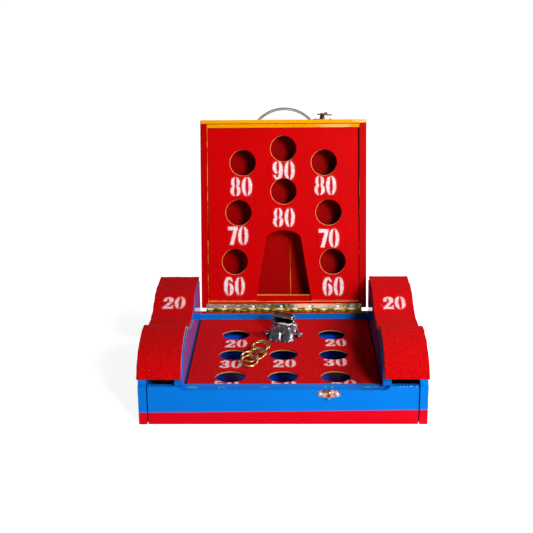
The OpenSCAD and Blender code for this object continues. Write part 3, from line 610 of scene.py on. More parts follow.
def case_enamel(name, banded=False, red_above=None, scuffed=False, polished=False, coat=None):
    """Alkyd gloss enamel, brushed on pine: an even strong blue with soft brush marks along the
    board, a wet-looking gloss, and a few chips down to the wood."""
    paint = settings("paint")
    made, add, shader, spot = new_material(name)
    where = spot["Object"]
    _, y, z = add("split", where)
    blue = linear(coat) if coat else paint.blue
    base = add("mix", add("clouds", where, 1000 / 70), shade(blue, 0.90), shade(blue, 1.08))
    marks = add("ease", streaks(add, where, 0, 2.2), 0.35, 0.75, 0, 0.25)
    base = add("mix", marks, base, shade(blue, 0.82))
    if banded:
        base = red_band(add, where, base)
    if red_above is not None:
        above = add("times", add("over", z, red_above), add("under", y, BACK_Y - 0.8 * MM))
        base = add("mix", above, base, shade(paint.red, 1.1))
    if scuffed:
        base = old_green(add, where, base)
    chips = add("ease", add("clouds", where, 1000 / 9, 2.0), 0.775, 0.80)
    base = add("mix", chips, base, linear("#C9B391"))
    base = add("mix", spotted(add, where, WHITE_CHIPS, 1.0), base, linear("#B4D2EC"))
    base = add("mix", spotted(add, where, GREEN_CHIPS, 2.2), base, linear("#3FB08C"))
    low, high = (0.05, 0.09) if polished else (0.16, 0.28)
    feed(shader, {
        "Base Color": base, "Specular IOR Level": 0.05,
        "Roughness": add("ease", add("clouds", where, 1000 / 22), 0.3, 0.7, low, high),
        "Normal": add("bump", streaks(add, where, 0, 2.0), 0.6, (0.01 if polished else 0.05) * MM)})
    if polished:
        # Only the broad faces are rubbed, and the ends stay as brushed
        sideways = add("unsigned", add("split", spot["Normal"])[0])
        feed(shader, {"Specular IOR Level": add("ease", sideways, 0.3, 0.7, 0.05, 0.38)})
    return made


def brushed_red(add, where, red):
    """Brushed satin enamel: patches where the coat lies thicker, and fine brush marks up the lid.
    It gives the colour and the height of the marks."""
    base = add("mix", add("clouds", where, 1000 / 55), shade(red, 0.88), shade(red, 1.12))
    marks = streaks(add, where, 2, 1.6, 26)
    base = add("mix", add("ease", marks, 0.40, 0.72, 0, 0.30), base, shade(red, 0.78))
    return base, marks


def satin(add, shader, base, marks):
    """The dull shine that satin enamel has, with its brush marks."""
    feed(shader, {"Base Color": base, "Roughness": 0.40, "Specular IOR Level": 0.02,
                  "Normal": add("bump", marks, 0.7, 0.06 * MM)})


def side_wear(add, where, base, orange):
    """Bare wood along the inner front edge, wider on the left, and painted shade on the inner
    face behind it.
    """
    x, v, _ = add("split", where)
    near = add("minus", add("unsigned", x), LID_INNER_X)
    line = add("under", near, add("ease", x, -0.1, 0.1, 0.7 * MM, 0.45 * MM))
    line = add("times", line, add("ease", streaks(add, where, 2, 3.0, 12), 0.46, 0.54))
    base = add("mix", add("times", line, add("under", v, 3.2 * MM)), base, orange)
    # Painted shade: the inner face deeper than 9 mm is painted dark red
    deep = add("times", add("under", near, 0.3 * MM), add("over", v, 9 * MM))
    return add("mix", deep, base, linear("#3A0204"))


def cleat_wear(add, where, base, orange):
    """A bare edge along each cleat."""
    u = add("split", where)[2]
    return add("mix", within(add, u, 25.1 * MM, 27.0 * MM), base, orange)


def foot_wear(add, where, base, orange):
    """Paint knocked off the front of the upper edge."""
    _, v, u = add("split", where)
    edge = add("times", add("over", u, 14.2 * MM), add("under", v, 3.4 * MM))
    worn = add("ease", streaks(add, where, 0, 4.0, 10), 0.36, 0.48, 0.35, 1.0)
    return add("mix", add("times", edge, worn), base, orange)


def bands_wear(add, where, base, orange):
    """Painted shade along the step where the two front boards meet, a faded stretch on the inner
    one, scratches at the right end of the outer one's edge, and painted shade on the faces
    inside the lid."""
    x, v, u = add("split", where)
    # Painted shade: a darker orange line in the step under the outer board's edge
    joint = within(add, u, 327.5 * MM, 328.7 * MM)
    base = add("mix", add("times", joint, add("under", v, 4 * MM)), base, linear("#C85A08"))
    pale = add("times", add("ease", x, 50 * MM, 90 * MM), add("ease", x, 120 * MM, 112 * MM))
    pale = add("times", pale, add("under", u, 327 * MM))
    base = add("mix", add("times", pale, 0.5), base, linear("#FFDC98"))
    scratch = add("ease", streaks(add, where, 0, 1.5, 3), 0.50, 0.58)
    scratch = add("times", scratch, within(add, x, 122 * MM, 145.4 * MM))
    scratch = add("times", scratch, add("over", u, 330 * MM))
    scratch = add("times", scratch, add("under", v, -2.0 * MM))
    base = add("mix", scratch, base, linear("#FFF3D8"))
    # Painted shade: the faces inside the lid nearly black
    deep = add("times", add("over", v, 8 * MM), add("under", u, 328.4 * MM))
    return add("mix", deep, base, linear("#2A1202"))


def seam_wear(add, where, base, orange):
    """Seen through the arch, inside the lid: painted shade darkening the inner face, and a crack
    that fades upwards.
    """
    x, v, u = add("split", where)
    inside = add("under", v, 54 * MM)
    # Painted shade: the inner face painted darker red
    base = add("mix", inside, base, shade(settings("paint").red, 0.82))
    crack_x = add("times plus", add("clouds", where, 1000 / 60), 3.0 * MM, 10.3 * MM)
    line = add("ease", add("unsigned", add("minus", x, crack_x)), 0.9 * MM, 0.3 * MM)
    line = add("times", line, add("times", add("ease", u, 126 * MM, 40 * MM, 0.0, 0.9), inside))
    line = add("times", line, add("ease", streaks(add, where, 2, 3.0, 10), 0.38, 0.50))
    return add("mix", line, base, orange)


def lid_enamel(name, colour_name, wear):
    """Satin enamel over plywood: a warm red or yellow with long brush marks up the lid, dulled by
    handling, with the wear and the dirt that its piece has."""
    made, add, shader, spot = new_material(name)
    where = lid_place(add, spot)
    base, marks = brushed_red(add, where, getattr(settings("paint"), colour_name))
    orange = add("mix", add("clouds", where, 1000 / 3), linear("#E88A14"), linear("#F7B23C"))
    satin(add, shader, wear(add, where, base, orange), marks)
    return made


def target_paint(name):
    """The target panel's satin red, with bare ply on the chamfer round each hole in painted light
    and shade, painted shadow in the gaps at its sides, painted shade on its back face, sprayed
    figures where the mesh carries them, and a worn orange line at the foot."""
    paint = settings("paint")
    made, add, shader, spot = new_material(name)
    where = lid_place(add, spot)
    x, v, u = add("split", where)
    base, marks = brushed_red(add, where, paint.panel)
    slant = add("unsigned", add("facing", spot["Normal"], (0, math.cos(LEAN), -math.sin(LEAN))))
    chamfer = within(add, slant, 0.35, 0.93)
    chamfer = add("times", chamfer, add("minus", 1.0, add("stored", attribute_name="film")))
    chamfer = add("times", chamfer, add("over", v, TARGET_V + 0.45 * MM))
    # Painted light and shade on the bare-wood chamfer: tan where it faces the lamps, dark elsewhere
    painted_light_facing = add("facing", spot["Normal"], (0.8, 0, 0.6))
    painted_light_facing = add("plus", painted_light_facing, add("ease", add("clouds", where, 1000 / 12), 0, 1, -0.3, 0.3))
    ply = add("mix", add("ease", painted_light_facing, -0.45, 0.25), linear("#4A1206"), linear("#EDB463"))
    base = add("mix", chamfer, base, ply)
    # Painted shade: the panel's back face and the deep part of each hole's wall nearly black
    base = add("mix", add("over", v, TARGET_V + 4.45 * MM), base, linear("#2A0103"))
    worn = add("ease", streaks(add, where, 0, 5.0, 8), 0.35, 0.5, 0.2, 0.9)
    base = add("mix", add("times", add("under", u, 17.0 * MM), worn), base, linear("#F0884A"))
    # Painted shadow in the gaps at the panel's sides; the right gap opens towards the top
    open_to = add("ease", u, 120 * MM, 220 * MM, 132.5 * MM, 131.0 * MM)
    gap = add("larger", add("under", x, -132.5 * MM), add("over", x, open_to))
    base = add("mix", gap, base, linear("#180203"))
    grain = add("ease", add("clouds", where, 1000 / 2.2, 3.0), 0.25, 0.6, 0.80, 1.06)
    cover = add("times", add("stored", attribute_name="spray"), grain)
    white = add("mix", add("clouds", where, 1000 / 5), linear("#FBD6DC"), shade(paint.numeral, 1))
    satin(add, shader, add("mix", cover, base, white), marks)
    return made


def wool_felt(name):
    """Pressed wool felt, dyed red: matted fibres that read as soft mottling about 3 mm across, a
    dull face with a slight bloom of light at the edges, and sprayed figures that sink in."""
    red = settings("felt").red
    made, add, shader, spot = new_material(name)
    where = spot["Object"]
    # Real fibres are 0.02 mm thick; the mottling is drawn at 1 to 3 mm so that it shows
    coarse = add("clouds", where, 1000 / 3.2, 4.0, 0.65)
    fine = add("clouds", where, 1000 / 1.0, 2.0, 0.6)
    base = add("mix", add("ease", coarse, 0.3, 0.7), shade(red, 0.70), shade(red, 1.22))
    base = add("mix", add("ease", fine, 0.45, 0.75, 0, 0.35), base, shade(red, 1.45))
    lint = add("ease", add("clouds", where, 1000 / 5.0, 1.0), 0.80, 0.83)
    base = add("mix", add("times", lint, 0.6), base, linear("#D9B9A8"))
    soak = add("ease", fine, 0.25, 0.62, 0.62, 1.0)
    cover = add("times", add("stored", attribute_name="spray"), soak)
    pile = add("plus", coarse, add("times", fine, 0.5))
    feed(shader, {
        "Base Color": add("mix", cover, base, linear("#FFDCE0")), "Roughness": 0.95,
        "Specular IOR Level": 0.05, "Sheen Weight": 0.05, "Sheen Roughness": 0.5,
        "Sheen Tint": linear("#FF8080"), "Normal": add("bump", pile, 0.7, 0.5 * MM)})
    return made


def bare_ply(name, dirt_below=None):
    """Unpainted birch ply: pale tan with fine grain along the board and darker glue lines. Given a
    height, it is painted black below it and along the toss board's two sides: painted shade in
    the holes and in the gaps beside the board."""
    made, add, shader, spot = new_material(name)
    where = spot["Object"]
    grain = streaks(add, where, 0, 1.4, 14)
    base = add("mix", grain, linear("#A9763F"), linear("#DDB47C"))
    glue = add("ease", streaks(add, where, 0, 0.8, 30), 0.5, 0.7, 0, 0.5)
    base = add("mix", glue, base, linear("#7C5228"))
    if dirt_below is not None:
        # Painted shade: black below the given height and along the board's two sides
        x, _, z = add("split", where)
        margin = add("over", add("unsigned", x), 144 * MM)
        painted_shade_mask = add("larger", add("under", z, dirt_below), margin)
        base = add("mix", painted_shade_mask, base, linear("#050406"))
    feed(shader, {"Base Color": base, "Roughness": 0.7,
                  "Normal": add("bump", grain, 0.6, 0.08 * MM)})
    return made


def metal(name, dark, light, roughness, patch_mm, tarnish=None, bump_mm=0.03):
    """A metal whose colour drifts between two shades, with smears of tarnish over nearly half of
    it that are rougher."""
    made, add, shader, spot = new_material(name)
    where = spot["Object"]
    drift = add("ease", add("clouds", where, 1000 / patch_mm), 0.3, 0.7)
    base = add("mix", drift, linear(dark), linear(light))
    rough = add("ease", add("clouds", where, 1000 / (patch_mm * 0.6), 4.0), 0.3, 0.75,
                roughness * 0.7, roughness * 1.5)
    if tarnish:
        smear = add("ease", add("clouds", where, 1000 / (patch_mm * 1.7), 4.0), 0.47, 0.67)
        base = add("mix", smear, base, linear(tarnish))
        rough = add("plus", rough, add("times", smear, 0.12))
    dents = add("clouds", where, 1000 / (patch_mm * 0.35), 3.0)
    feed(shader, {"Base Color": base, "Roughness": rough, "Metallic": 1.0,
                  "Normal": add("bump", dents, 0.6, bump_mm * MM)})
    return made


# The hinge leaf's patches of tarnish: each begins at a place across, soft over so much, in mm
LEAF_PATCHES = ((-92, 20, "#6E4A34"), (-38, 16, "#4E4A2A"), (18, 4, "#F0AE98"),
                (74, 8, "#B98470"), (104, 12, "#3C3818"))


def hinge_brass(name):
    """Continuous hinge of rolled, brass-plated steel: the knuckles are bright yellow gold with
    dark joints and a painted highlight dash on every other one, and the leaf above them has
    tarnished in long patches."""
    made, add, shader, spot = new_material(name)
    where = spot["Object"]
    x, _, z = add("split", where)
    drawn = add("ease", streaks(add, where, 0, 1.1, 9), 0.36, 0.64)
    cloud = add("ease", add("clouds", where, 1000 / 9), 0.38, 0.62)
    gold = add("mix", cloud, linear("#9A8420"), linear("#FFE468"))
    dull = add("mix", cloud, linear("#4A3A0C"), linear("#8A7218"))
    base = add("mix", drawn, dull, gold)
    patches = linear("#A87F74")
    for edge, soft, code in LEAF_PATCHES:
        begun = add("ease", x, (edge - soft) * MM, (edge + soft) * MM)
        patches = add("mix", begun, patches, linear(code))
    leaf = add("mix", drawn, linear("#2E2012"), linear("#E8D4B4"))
    stain = add("ease", add("clouds", where, 1000 / 6, 4.0), 0.36, 0.60, 0.25, 0.95)
    leaf = add("mix", stain, leaf, patches)
    base = add("mix", add("ease", z, PIN_Z + 2.6 * MM, PIN_Z + 4.2 * MM), base, leaf)
    turn = add("to and fro", add("plus", x, 200 * MM), KNUCKLE / 2)
    joint = add("times", add("under", turn, 0.5 * MM), add("under", z, PIN_Z + 2.4 * MM))
    base = add("mix", add("times", joint, 0.75), base, linear("#2A1F08"))
    # Painted highlight: a near-white, barely metallic dash along the top of every other knuckle
    beat = add("to and fro", add("plus", x, 205.3 * MM), KNUCKLE)
    painted_glint = add("times", add("ease", beat, 5.0 * MM, 4.0 * MM),
                 within(add, z, PIN_Z + 1.2 * MM, PIN_Z + 2.1 * MM))
    feed(shader, {
        "Base Color": add("mix", painted_glint, base, linear("#FFF8E0")),
        "Metallic": add("minus", 1.0, add("times", painted_glint, 0.9)),
        "Roughness": add("ease", drawn, 0, 1, 0.42, 0.24),
        "Normal": add("bump", drawn, 0.6, 0.05 * MM)})
    return made


def cast_pewter(name):
    """Sand-cast pewter: dark grey with a hard shine, with painted shade in the mouth, black and
    without shine, and a painted highlight on the lips, pale and half as metallic."""
    grey = settings("metal").pewter
    made, add, shader, spot = new_material(name)
    where = spot["Object"]
    drift = add("ease", add("clouds", where, 1000 / 9), 0.3, 0.7)
    base = add("mix", drift, shade(grey, 0.6), shade(grey, 1.15))
    depth = add("stored", attribute_name="depth")
    lips = add("stored", attribute_name="lips")
    # Painted shade: the mouth and throat black
    base = add("mix", depth, base, linear("#0B0A0B"))
    rough = add("ease", add("clouds", where, 1000 / 5), 0.3, 0.75, 0.22, 0.38)
    bare = add("minus", 1.0, depth)
    dull = add("larger", depth, add("times", lips, 0.5))
    # Painted highlight: the lips pale and half as metallic
    feed(shader, {
        "Base Color": add("mix", lips, base, linear("#F4F4F6")),
        "Roughness": add("plus", rough, add("times", depth, 0.6)),
        "Metallic": add("minus", 1.0, dull), "Specular IOR Level": add("times", bare, 0.5),
        "Normal": add("bump", add("clouds", where, 1000 / 3.0, 2.0), 0.5, 0.03 * MM)})
    return made


MATERIALS = {}


def material(name, maker, *args, **options):
    """The material of that name, made at its first use."""
    if name not in MATERIALS:
        MATERIALS[name] = maker(name, *args, **options)
    return MATERIALS[name]


# Pieces

# The toss board's holes: columns, rows, and the radius of the cut in metres
TOSS_COLUMNS, TOSS_ROWS = (-81 * MM, 0.0, 81 * MM), (-103 * MM, -12 * MM, 79 * MM)
TOSS_HOLE_R, TOSS_BOARD_THIN = 23.1 * MM, 2.4 * MM
TOSS_HOLES = [(x, y) for x in TOSS_COLUMNS for y in TOSS_ROWS]
DRAWER_FRONT_FOOT = 0.3 * MM


class FROGTOSS_OT_case(bpy.types.Operator):
    """Paints the case and the drawer, and sands their edges round"""
    bl_idname = "frog_toss.case"
    bl_label = "Case and drawer"

    def execute(self, context):
        ease = settings("paint").easing
        plain = material("blue_gloss_enamel", case_enamel)
        banded = material("blue_gloss_enamel_with_red_band", case_enamel, banded=True, scuffed=True)
        ends = material("blue_gloss_enamel_ends", case_enamel, banded=True)
        rear = material("blue_gloss_enamel_with_red_top", case_enamel, banded=True,
                        red_above=RAIL_TOP - 0.9 * MM)
        scuffed = material("blue_gloss_enamel_scuffed", case_enamel, scuffed=True)
        polished = material("blue_gloss_enamel_polished", case_enamel, polished=True,
                            coat="#0062C0")
        # Painted shade: the hidden inner faces of the base and the drawer in dark navy
        inside = material("blue_enamel_thin_coat", case_enamel, coat="#04265C")
        deep = material("deep_blue_enamel", case_enamel, coat="#0056EA")
        ply = material("bare_birch_ply", bare_ply)
        # The toss board carries painted shade, black, down its holes below the felt and along its
        # sides
        holed = material("birch_ply_with_dark_holes", bare_ply, dirt_below=FELT_TOP - 2.9 * MM)
        for finish, nodes in (
                (ends, ("end_board_left", "end_board_right")),
                (polished, ("wing_inner_board_left", "wing_inner_board_right")),
                (rear, ("rear_wall",)), (scuffed, ("front_rail",))):
            for node in nodes:
                eased_board(node, finish, "base", "blue_paint", ease)
        front = eased_board("drawer_front", banded, "drawer", "blue_paint", ease)
        stretch_down(front, 4 * MM, DRAWER_FRONT_FOOT)
        for node, finish in (("drawer_side_left", inside), ("drawer_side_right", inside),
                             ("drawer_back", deep)):
            eased_board(node, finish, "drawer", "blue_paint", ease)
        paint_nodes(inside, "base_floor")
        paint_nodes(deep, "drawer_floor")
        paint_nodes(plain, "wing_back_left", "wing_back_right")
        low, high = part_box("toss_board")
        board = pierced_slab("toss_board_with_holes", low, high, TOSS_COLUMNS, TOSS_ROWS,
                             TOSS_HOLE_R, TOSS_BOARD_THIN, 0.05 * MM, 41)
        finish_piece(board, holed, "base", "bare_wood", "toss_board")
        paint_nodes(ply, "toss_board_cleats", "wing_ramp_left", "wing_ramp_right")
        return {"FINISHED"}


class FROGTOSS_OT_lid(bpy.types.Operator):
    """Paints the lid's boards and panels"""
    bl_idname = "frog_toss.lid"
    bl_label = "Lid"

    def execute(self, context):
        ease = settings("paint").easing
        side = material("red_satin_enamel_side", lid_enamel, "red", side_wear)
        yellow = material("yellow_gloss_enamel", lid_enamel, "yellow", bands_wear)
        foot = material("red_satin_enamel_foot", lid_enamel, "red", foot_wear)
        seam = material("red_satin_enamel_seam", lid_enamel, "red", seam_wear)
        cleat = material("red_satin_enamel_cleat", lid_enamel, "red", cleat_wear)
        for node in ("lid_side_left", "lid_side_right"):
            eased_board(node, side, "lid", "red_paint", ease)
        eased_board("lid_rear_board", foot, "lid", "red_paint", ease)
        eased_board("lid_back_panel", seam, "lid", "red_paint", ease)
        paint_nodes(yellow, "lid_front_board", "lid_front_facing")
        paint_nodes(cleat, "target_cleats")
        paint_nodes(material("target_red_enamel", target_paint), "target_panel")
        return {"FINISHED"}


# The target panel in the lid's frame: the middles of its holes across and up from the pin, and
# its numerals as text, middle across and middle up, all in millimetres
TARGET_HOLES = [(0, 284.5), (-71.5, 260), (71.5, 260), (0, 209.5), (-79.5, 172.3), (79.5, 172.3),
                (-86.5, 85.4), (86.5, 85.4)]
TARGET_NUMERALS = [
    ("90", 0.5, 246.4), ("80", -74.4, 218.4), ("80", 74.0, 219.7), ("80", 0.7, 163.6),
    ("70", -80.7, 131.7), ("70", 80.0, 126.7), ("60", -87.8, 42.1), ("60", 87.3, 41.0)]
TARGET_NUMERAL_WIDTHS = {"90": 38.3 * MM, "80": 37.7 * MM, "70": 35.7 * MM, "60": 36.7 * MM}
TARGET_NUMERAL_HEIGHT, TARGET_RIM_R = 32.4 * MM, 23.5 * MM
TARGET_V = 2.15 * MM  # how deep the panel's face lies behind the pin


class FROGTOSS_OT_target_numerals(bpy.types.Operator):
    """Sprays the stencil numerals on the target panel"""
    bl_idname = "frog_toss.target_numerals"
    bl_label = "Target numerals"

    def execute(self, context):
        paint = material("target_red_enamel", target_paint)
        holes = [(x * MM, u * MM) for x, u in TARGET_HOLES]
        for i, (text, x, u) in enumerate(TARGET_NUMERALS):
            sheet = numeral_sheet(
                f"target_numeral_{text}_{i + 1}", text, (x * MM, u * MM),
                (TARGET_NUMERAL_WIDTHS[text], TARGET_NUMERAL_HEIGHT),
                settings("felt").spray * 0.8, lambda a, b, lift: lid_point(a, b, TARGET_V - lift),
                holes, TARGET_RIM_R, 11 + i, 0.5 * MM)
            finish_piece(sheet, paint, "lid", "red_paint")
        return {"FINISHED"}


# The felt's numerals: text, middle across, middle along, width and height in millimetres
TOSS_NUMERALS = [
    ("20", -78.7, 36.0, 35.4, 33), ("20", 86.6, 39.9, 34.4, 32), ("30", -83.2, -53.5, 34.6, 31.5),
    ("20", 2.0, -50.6, 35.2, 31), ("30", 82.3, -45.2, 36, 33), ("50", -85.8, -132.6, 38, 24),
    ("50", 0.8, -132.8, 38, 24), ("50", 91.7, -130.2, 38, 25)]
# How far the felt's side edges lie inside the board's, on the left and on the right
FELT_INSETS = 1.9 * MM, 0.8 * MM


class FROGTOSS_OT_toss_felt(bpy.types.Operator):
    """Lays the felt on the toss board and sprays its numerals"""
    bl_idname = "frog_toss.toss_felt"
    bl_label = "Toss board felt"

    def execute(self, context):
        felt = material("red_wool_felt", wool_felt)
        low, high = (Vector(corner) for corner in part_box("toss_felt"))
        low.x, high.x = low.x + FELT_INSETS[0], high.x - FELT_INSETS[1]
        cloth = pierced_slab("toss_board_felt", low, high, TOSS_COLUMNS, TOSS_ROWS,
                             TOSS_HOLE_R + 0.1 * MM, high.z - low.z, 0.3 * MM, 51)
        finish_piece(cloth, felt, "base", "red_felt", "toss_felt")
        for i, (text, x, y, wide, high) in enumerate(TOSS_NUMERALS):
            sheet = numeral_sheet(
                f"toss_numeral_{text}_{i + 1}", text, (x * MM, y * MM), (wide * MM, high * MM),
                settings("felt").spray,
                lambda a, b, lift: np.stack([a, b, np.full(a.shape, FELT_TOP) + lift], -1),
                TOSS_HOLES, TOSS_HOLE_R + 0.5 * MM, 31 + i, 0.6 * MM)
            finish_piece(sheet, felt, "base", "red_felt")
        return {"FINISHED"}


# The shoulders' path: the lip over the rail, the crest and the dip under the top, how much higher
# both are on the left, where crest, dip and rise begin behind the front, and the rise's length
LIP_OVER_RAIL, CREST_UNDER_TOP, DIP_UNDER_TOP, LEFT_LIFT = 11.5 * MM, 5.4 * MM, 24.9 * MM, 2.6 * MM
CREST_RUN, DIP_RUN, RISE_LENGTH = 98 * MM, 154 * MM, 84 * MM
RISE_RUN = {-1: 188 * MM, 1: 197 * MM}
SHOULDER_WORDS = {-1: "left", 1: "right"}


def length_along(y, z):
    """How far along a line of points each one lies."""
    return np.concatenate([[0], np.cumsum(np.hypot(np.diff(y), np.diff(z)))])


def shoulder_line(side, step):
    """The felt's path from front to back as [y, z] at equal steps, with its unit normals and the
    length along it: a quarter ellipse to the crest, half a cosine wave to the dip, a level
    stretch, half a cosine wave up, and a level end."""
    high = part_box("wing_felt_" + SHOULDER_WORDS[side])[1]
    top, end_y = high.z, high.y
    lift = LEFT_LIFT if side < 0 else 0
    lip = RAIL_TOP + LIP_OVER_RAIL
    crest, dip = top - CREST_UNDER_TOP + lift, top - DIP_UNDER_TOP + lift
    crest_y, dip_y, rise_y = FRONT_Y + CREST_RUN, FRONT_Y + DIP_RUN, FRONT_Y + RISE_RUN[side]
    level_y = rise_y + RISE_LENGTH
    turn = np.linspace(math.pi, math.pi / 2, 400)
    y = [crest_y + CREST_RUN * np.cos(turn)]
    z = [lip + (crest - lip) * np.sin(turn)]
    for y0, y1, z0, z1 in ((crest_y, dip_y, crest, dip), (dip_y, rise_y, dip, dip),
                           (rise_y, level_y, dip, top), (level_y, end_y, top, top)):
        t = np.linspace(0, 1, 400)[1:]
        y.append(y0 + (y1 - y0) * t)
        z.append(z0 + (z1 - z0) * (1 - np.cos(math.pi * t)) / 2)
    y, z = np.concatenate(y), np.concatenate(z)
    run = length_along(y, z)
    s = np.linspace(0, run[-1], int(run[-1] / step) + 1)
    y, z = np.interp(s, run, y), np.interp(s, run, z)
    ty, tz = np.gradient(y), np.gradient(z)
    size = np.hypot(ty, tz)
    return y, z, -tz / size, ty / size, length_along(y, z)


# Each shoulder's side, and the middle of its numeral across and along in millimetres
SHOULDER_NUMERALS = ((-1, -182.3, 63.5), (1, 184.8, 68.5))


class FROGTOSS_OT_shoulder_felt(bpy.types.Operator):
    """Lays the two shoulder felts, with their ragged edges, numerals and matted pile"""
    bl_idname = "frog_toss.shoulder_felt"
    bl_label = "Shoulder felts"

    def execute(self, context):
        felt = material("red_wool_felt", wool_felt)
        options = settings("felt")
        for side, middle_x, middle_y in SHOULDER_NUMERALS:
            y, z, ny, nz, run = shoulder_line(side, 1.0 * MM)
            low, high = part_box("wing_felt_" + SHOULDER_WORDS[side])
            x = np.repeat(np.linspace(low.x, high.x, 68)[:, None], len(y), 1)
            line = np.stack([x, np.broadcast_to(y, x.shape), np.broadcast_to(z, x.shape)], -1)
            reach = np.clip(1 - np.minimum(x - low.x, high.x - x) / (3 * MM), 0, 1)
            sideways = np.sign(x - (low.x + high.x) / 2) * reach
            x = x + sideways * options.ragged * seeded_waves(line, 26 * MM, 7 + side, 4)
            # The cut runs a little further over the inner board towards the back
            inner = np.clip(1 - (x - low.x if side > 0 else high.x - x) / (12 * MM), 0, 1)
            behind = np.clip((line[..., 1] + 40 * MM) / (200 * MM), 0, 1)
            x = x - side * inner * behind * 1.6 * MM
            pile = (0.16 * MM * seeded_waves(line, 4 * MM, 3 + side, 2)
                    + 0.25 * MM * seeded_waves(line, 30 * MM, 5, 1))
            order = np.arange(len(y))
            ends = np.minimum(order, len(y) - 1 - order) < 3
            creep = np.where(ends, options.ragged * seeded_waves(line, 12 * MM, 17, 3), 0) * 0.6
            top, bottom = (
                np.stack([x, line[..., 1] + ny * rise + creep * nz,
                          line[..., 2] + nz * rise - creep * ny], -1)
                for rise in (pile, -options.thickness))
            obj = closed_slab("shoulder_felt_" + SHOULDER_WORDS[side], top, bottom)
            along = run - np.interp(middle_y * MM, y, run)
            cover = sprayed("20", x - middle_x * MM, np.broadcast_to(along, x.shape),
                            36.6 * MM, 29.6 * MM, options.spray, 71 + side)
            cover = np.where(np.abs(along) < 26 * MM, cover, 0)
            store(obj, "spray", np.concatenate([cover.ravel(), 0 * cover.ravel()]))
            finish_piece(obj, felt, "base", "red_felt", "wing_felt_" + SHOULDER_WORDS[side])
        return {"FINISHED"}


# The frog's mouth in millimetres from the frog's seat: half its width, how far its floor reaches
# to the front, the heights of its floor and roof, and its throat's radius and middle
MOUTH_HALF, MOUTH_FRONT, MOUTH_FLOOR, MOUTH_ROOF = 16.2, -13.2, 24.2, 31.4
THROAT_R, THROAT_Y, THROAT_TOP = 13.4, 2.5, 27
LIP_Z, UPPER_LIP_Z = 25.0, 31.0
# How much the head leans over for each millimetre of height, and the jaw's pinch and its height
HEAD_LEAN, JAW_PINCH, JAW_Z = 0.10, 0.18, 17.5


class FROGTOSS_OT_frog(bpy.types.Operator):
    """Casts the frog: the solid's skin melted smooth, with warts, painted shade in the mouth and
    painted highlights on the lips
    """
    bl_idname = "frog_toss.frog"
    bl_label = "Frog"

    def execute(self, context):
        obj = node_copy("cast_frog", "frog")
        with edited(obj) as work:
            bmesh.ops.remove_doubles(work, verts=work.verts, dist=0.01 * MM)
        remesh = obj.modifiers.new("skin", "REMESH")
        remesh.mode = "VOXEL"
        remesh.voxel_size = settings("metal").voxel
        smooth = obj.modifiers.new("melted", "SMOOTH")
        smooth.factor, smooth.iterations = 0.5, 14
        shown = obj.evaluated_get(context.evaluated_depsgraph_get())
        baked = bpy.data.meshes.new_from_object(shown)
        obj.modifiers.clear()
        obj.data = baked
        points, normals = vertex_values(baked), vertex_values(baked, "normal")
        middle = np.array([0, TOSS_ROWS[-1], FELT_TOP])
        points = self.modelled((points - middle) / MM) * MM + middle
        above = np.clip((points[:, 2] - FELT_TOP) / (2 * MM), 0, 1)
        warts = np.clip(seeded_waves(points, 5 * MM, 23, 2) - 0.25, 0, 1) * 0.05 * MM
        points = points + normals * (warts * above)[:, None]
        baked.vertices.foreach_set("co", points.ravel())
        baked.polygons.foreach_set("use_smooth", np.ones(len(baked.polygons), bool))
        depth, lips = self.mouth((points - middle) / MM)
        store(obj, "depth", depth)
        store(obj, "lips", lips)
        finish_piece(obj, material("cast_pewter", cast_pewter), "base", "pewter", "frog")
        return {"FINISHED"}

    def mouth(self, local):
        """How much painted shade each point takes in the mouth, and how much painted highlight on a
        lip, from 0 to 1: eased walls round the mouth's box and throat, and bell curves about
        the lips' edges."""
        x, y, z = local.T
        z = z + HEAD_LEAN * x
        # Painted shade in the mouth's box and throat
        deep = (eased(y, MOUTH_FRONT, MOUTH_FRONT + 0.8)
                * eased(-np.abs(x), -MOUTH_HALF, -MOUTH_HALF + 0.8)
                * eased(z, MOUTH_FLOOR, MOUTH_FLOOR + 0.7)
                * eased(-z, -MOUTH_ROOF, -MOUTH_ROOF + 0.6))
        brow = eased(z, 29.0, 29.5) * eased(-y, 2.0, 3.0)
        deep = deep * (1 - brow) * eased(-y, -14, -12)
        throat = (eased(-np.hypot(x, y - THROAT_Y), -THROAT_R, -THROAT_R + 0.6)
                  * eased(-z, -THROAT_TOP, -THROAT_TOP + 1))
        # Painted highlight along the lower and the upper lip
        lower = (np.exp(-((z - LIP_Z) / 1.1) ** 2) * eased(-y, 12.4, 13.4)
                 * eased(-np.abs(x - 3), -14, -9))
        upper = (np.exp(-((z - UPPER_LIP_Z) / 1.0) ** 2) * eased(-y, 3, 4)
                 * eased(-np.abs(x - 2), -7, -3))
        return np.maximum(deep, throat), np.maximum(lower, upper)

    def modelled(self, local):
        """The points in millimetres from the frog's seat, pinched in under the jaw, rounded across
        the front of the body as y + 0.016 x^2, and with the head leaning to its left."""
        x, y, z = local.T
        head = eased(z, 18, 22)
        body = (1 - head) * (1 - eased(np.abs(x), 20, 25))
        pinch = JAW_PINCH * np.exp(-((z - JAW_Z) / 4) ** 2) * (1 - eased(np.abs(x), 20, 25))
        round_y = y + eased(-y, -2, 6) * body * 0.016 * x * x
        return np.stack([x * (1 - pinch), round_y, z - HEAD_LEAN * x * head], -1)


def lump_middles(mesh):
    """The middle of each separate lump of a mesh of loose triangles. Points in one place are one,
    and every point takes the lowest number among its triangles' points until none changes, so that
    each lump ends with a number of its own."""
    points = vertex_values(mesh)
    corners = np.empty(len(mesh.loops), int)
    mesh.loops.foreach_get("vertex_index", corners)
    same_place = np.round(points / (0.01 * MM))
    _, lowest, place = np.unique(same_place, axis=0, return_index=True, return_inverse=True)
    place = place.ravel()
    triangles = place[corners].reshape(-1, 3)
    before = None
    while not np.array_equal(lowest, before):
        before = lowest.copy()
        np.minimum.at(lowest, triangles, before[triangles].min(1)[:, None])
    lump = lowest[place]
    return [(points[lump == i].min(0) + points[lump == i].max(0)) / 2 for i in np.unique(lump)]


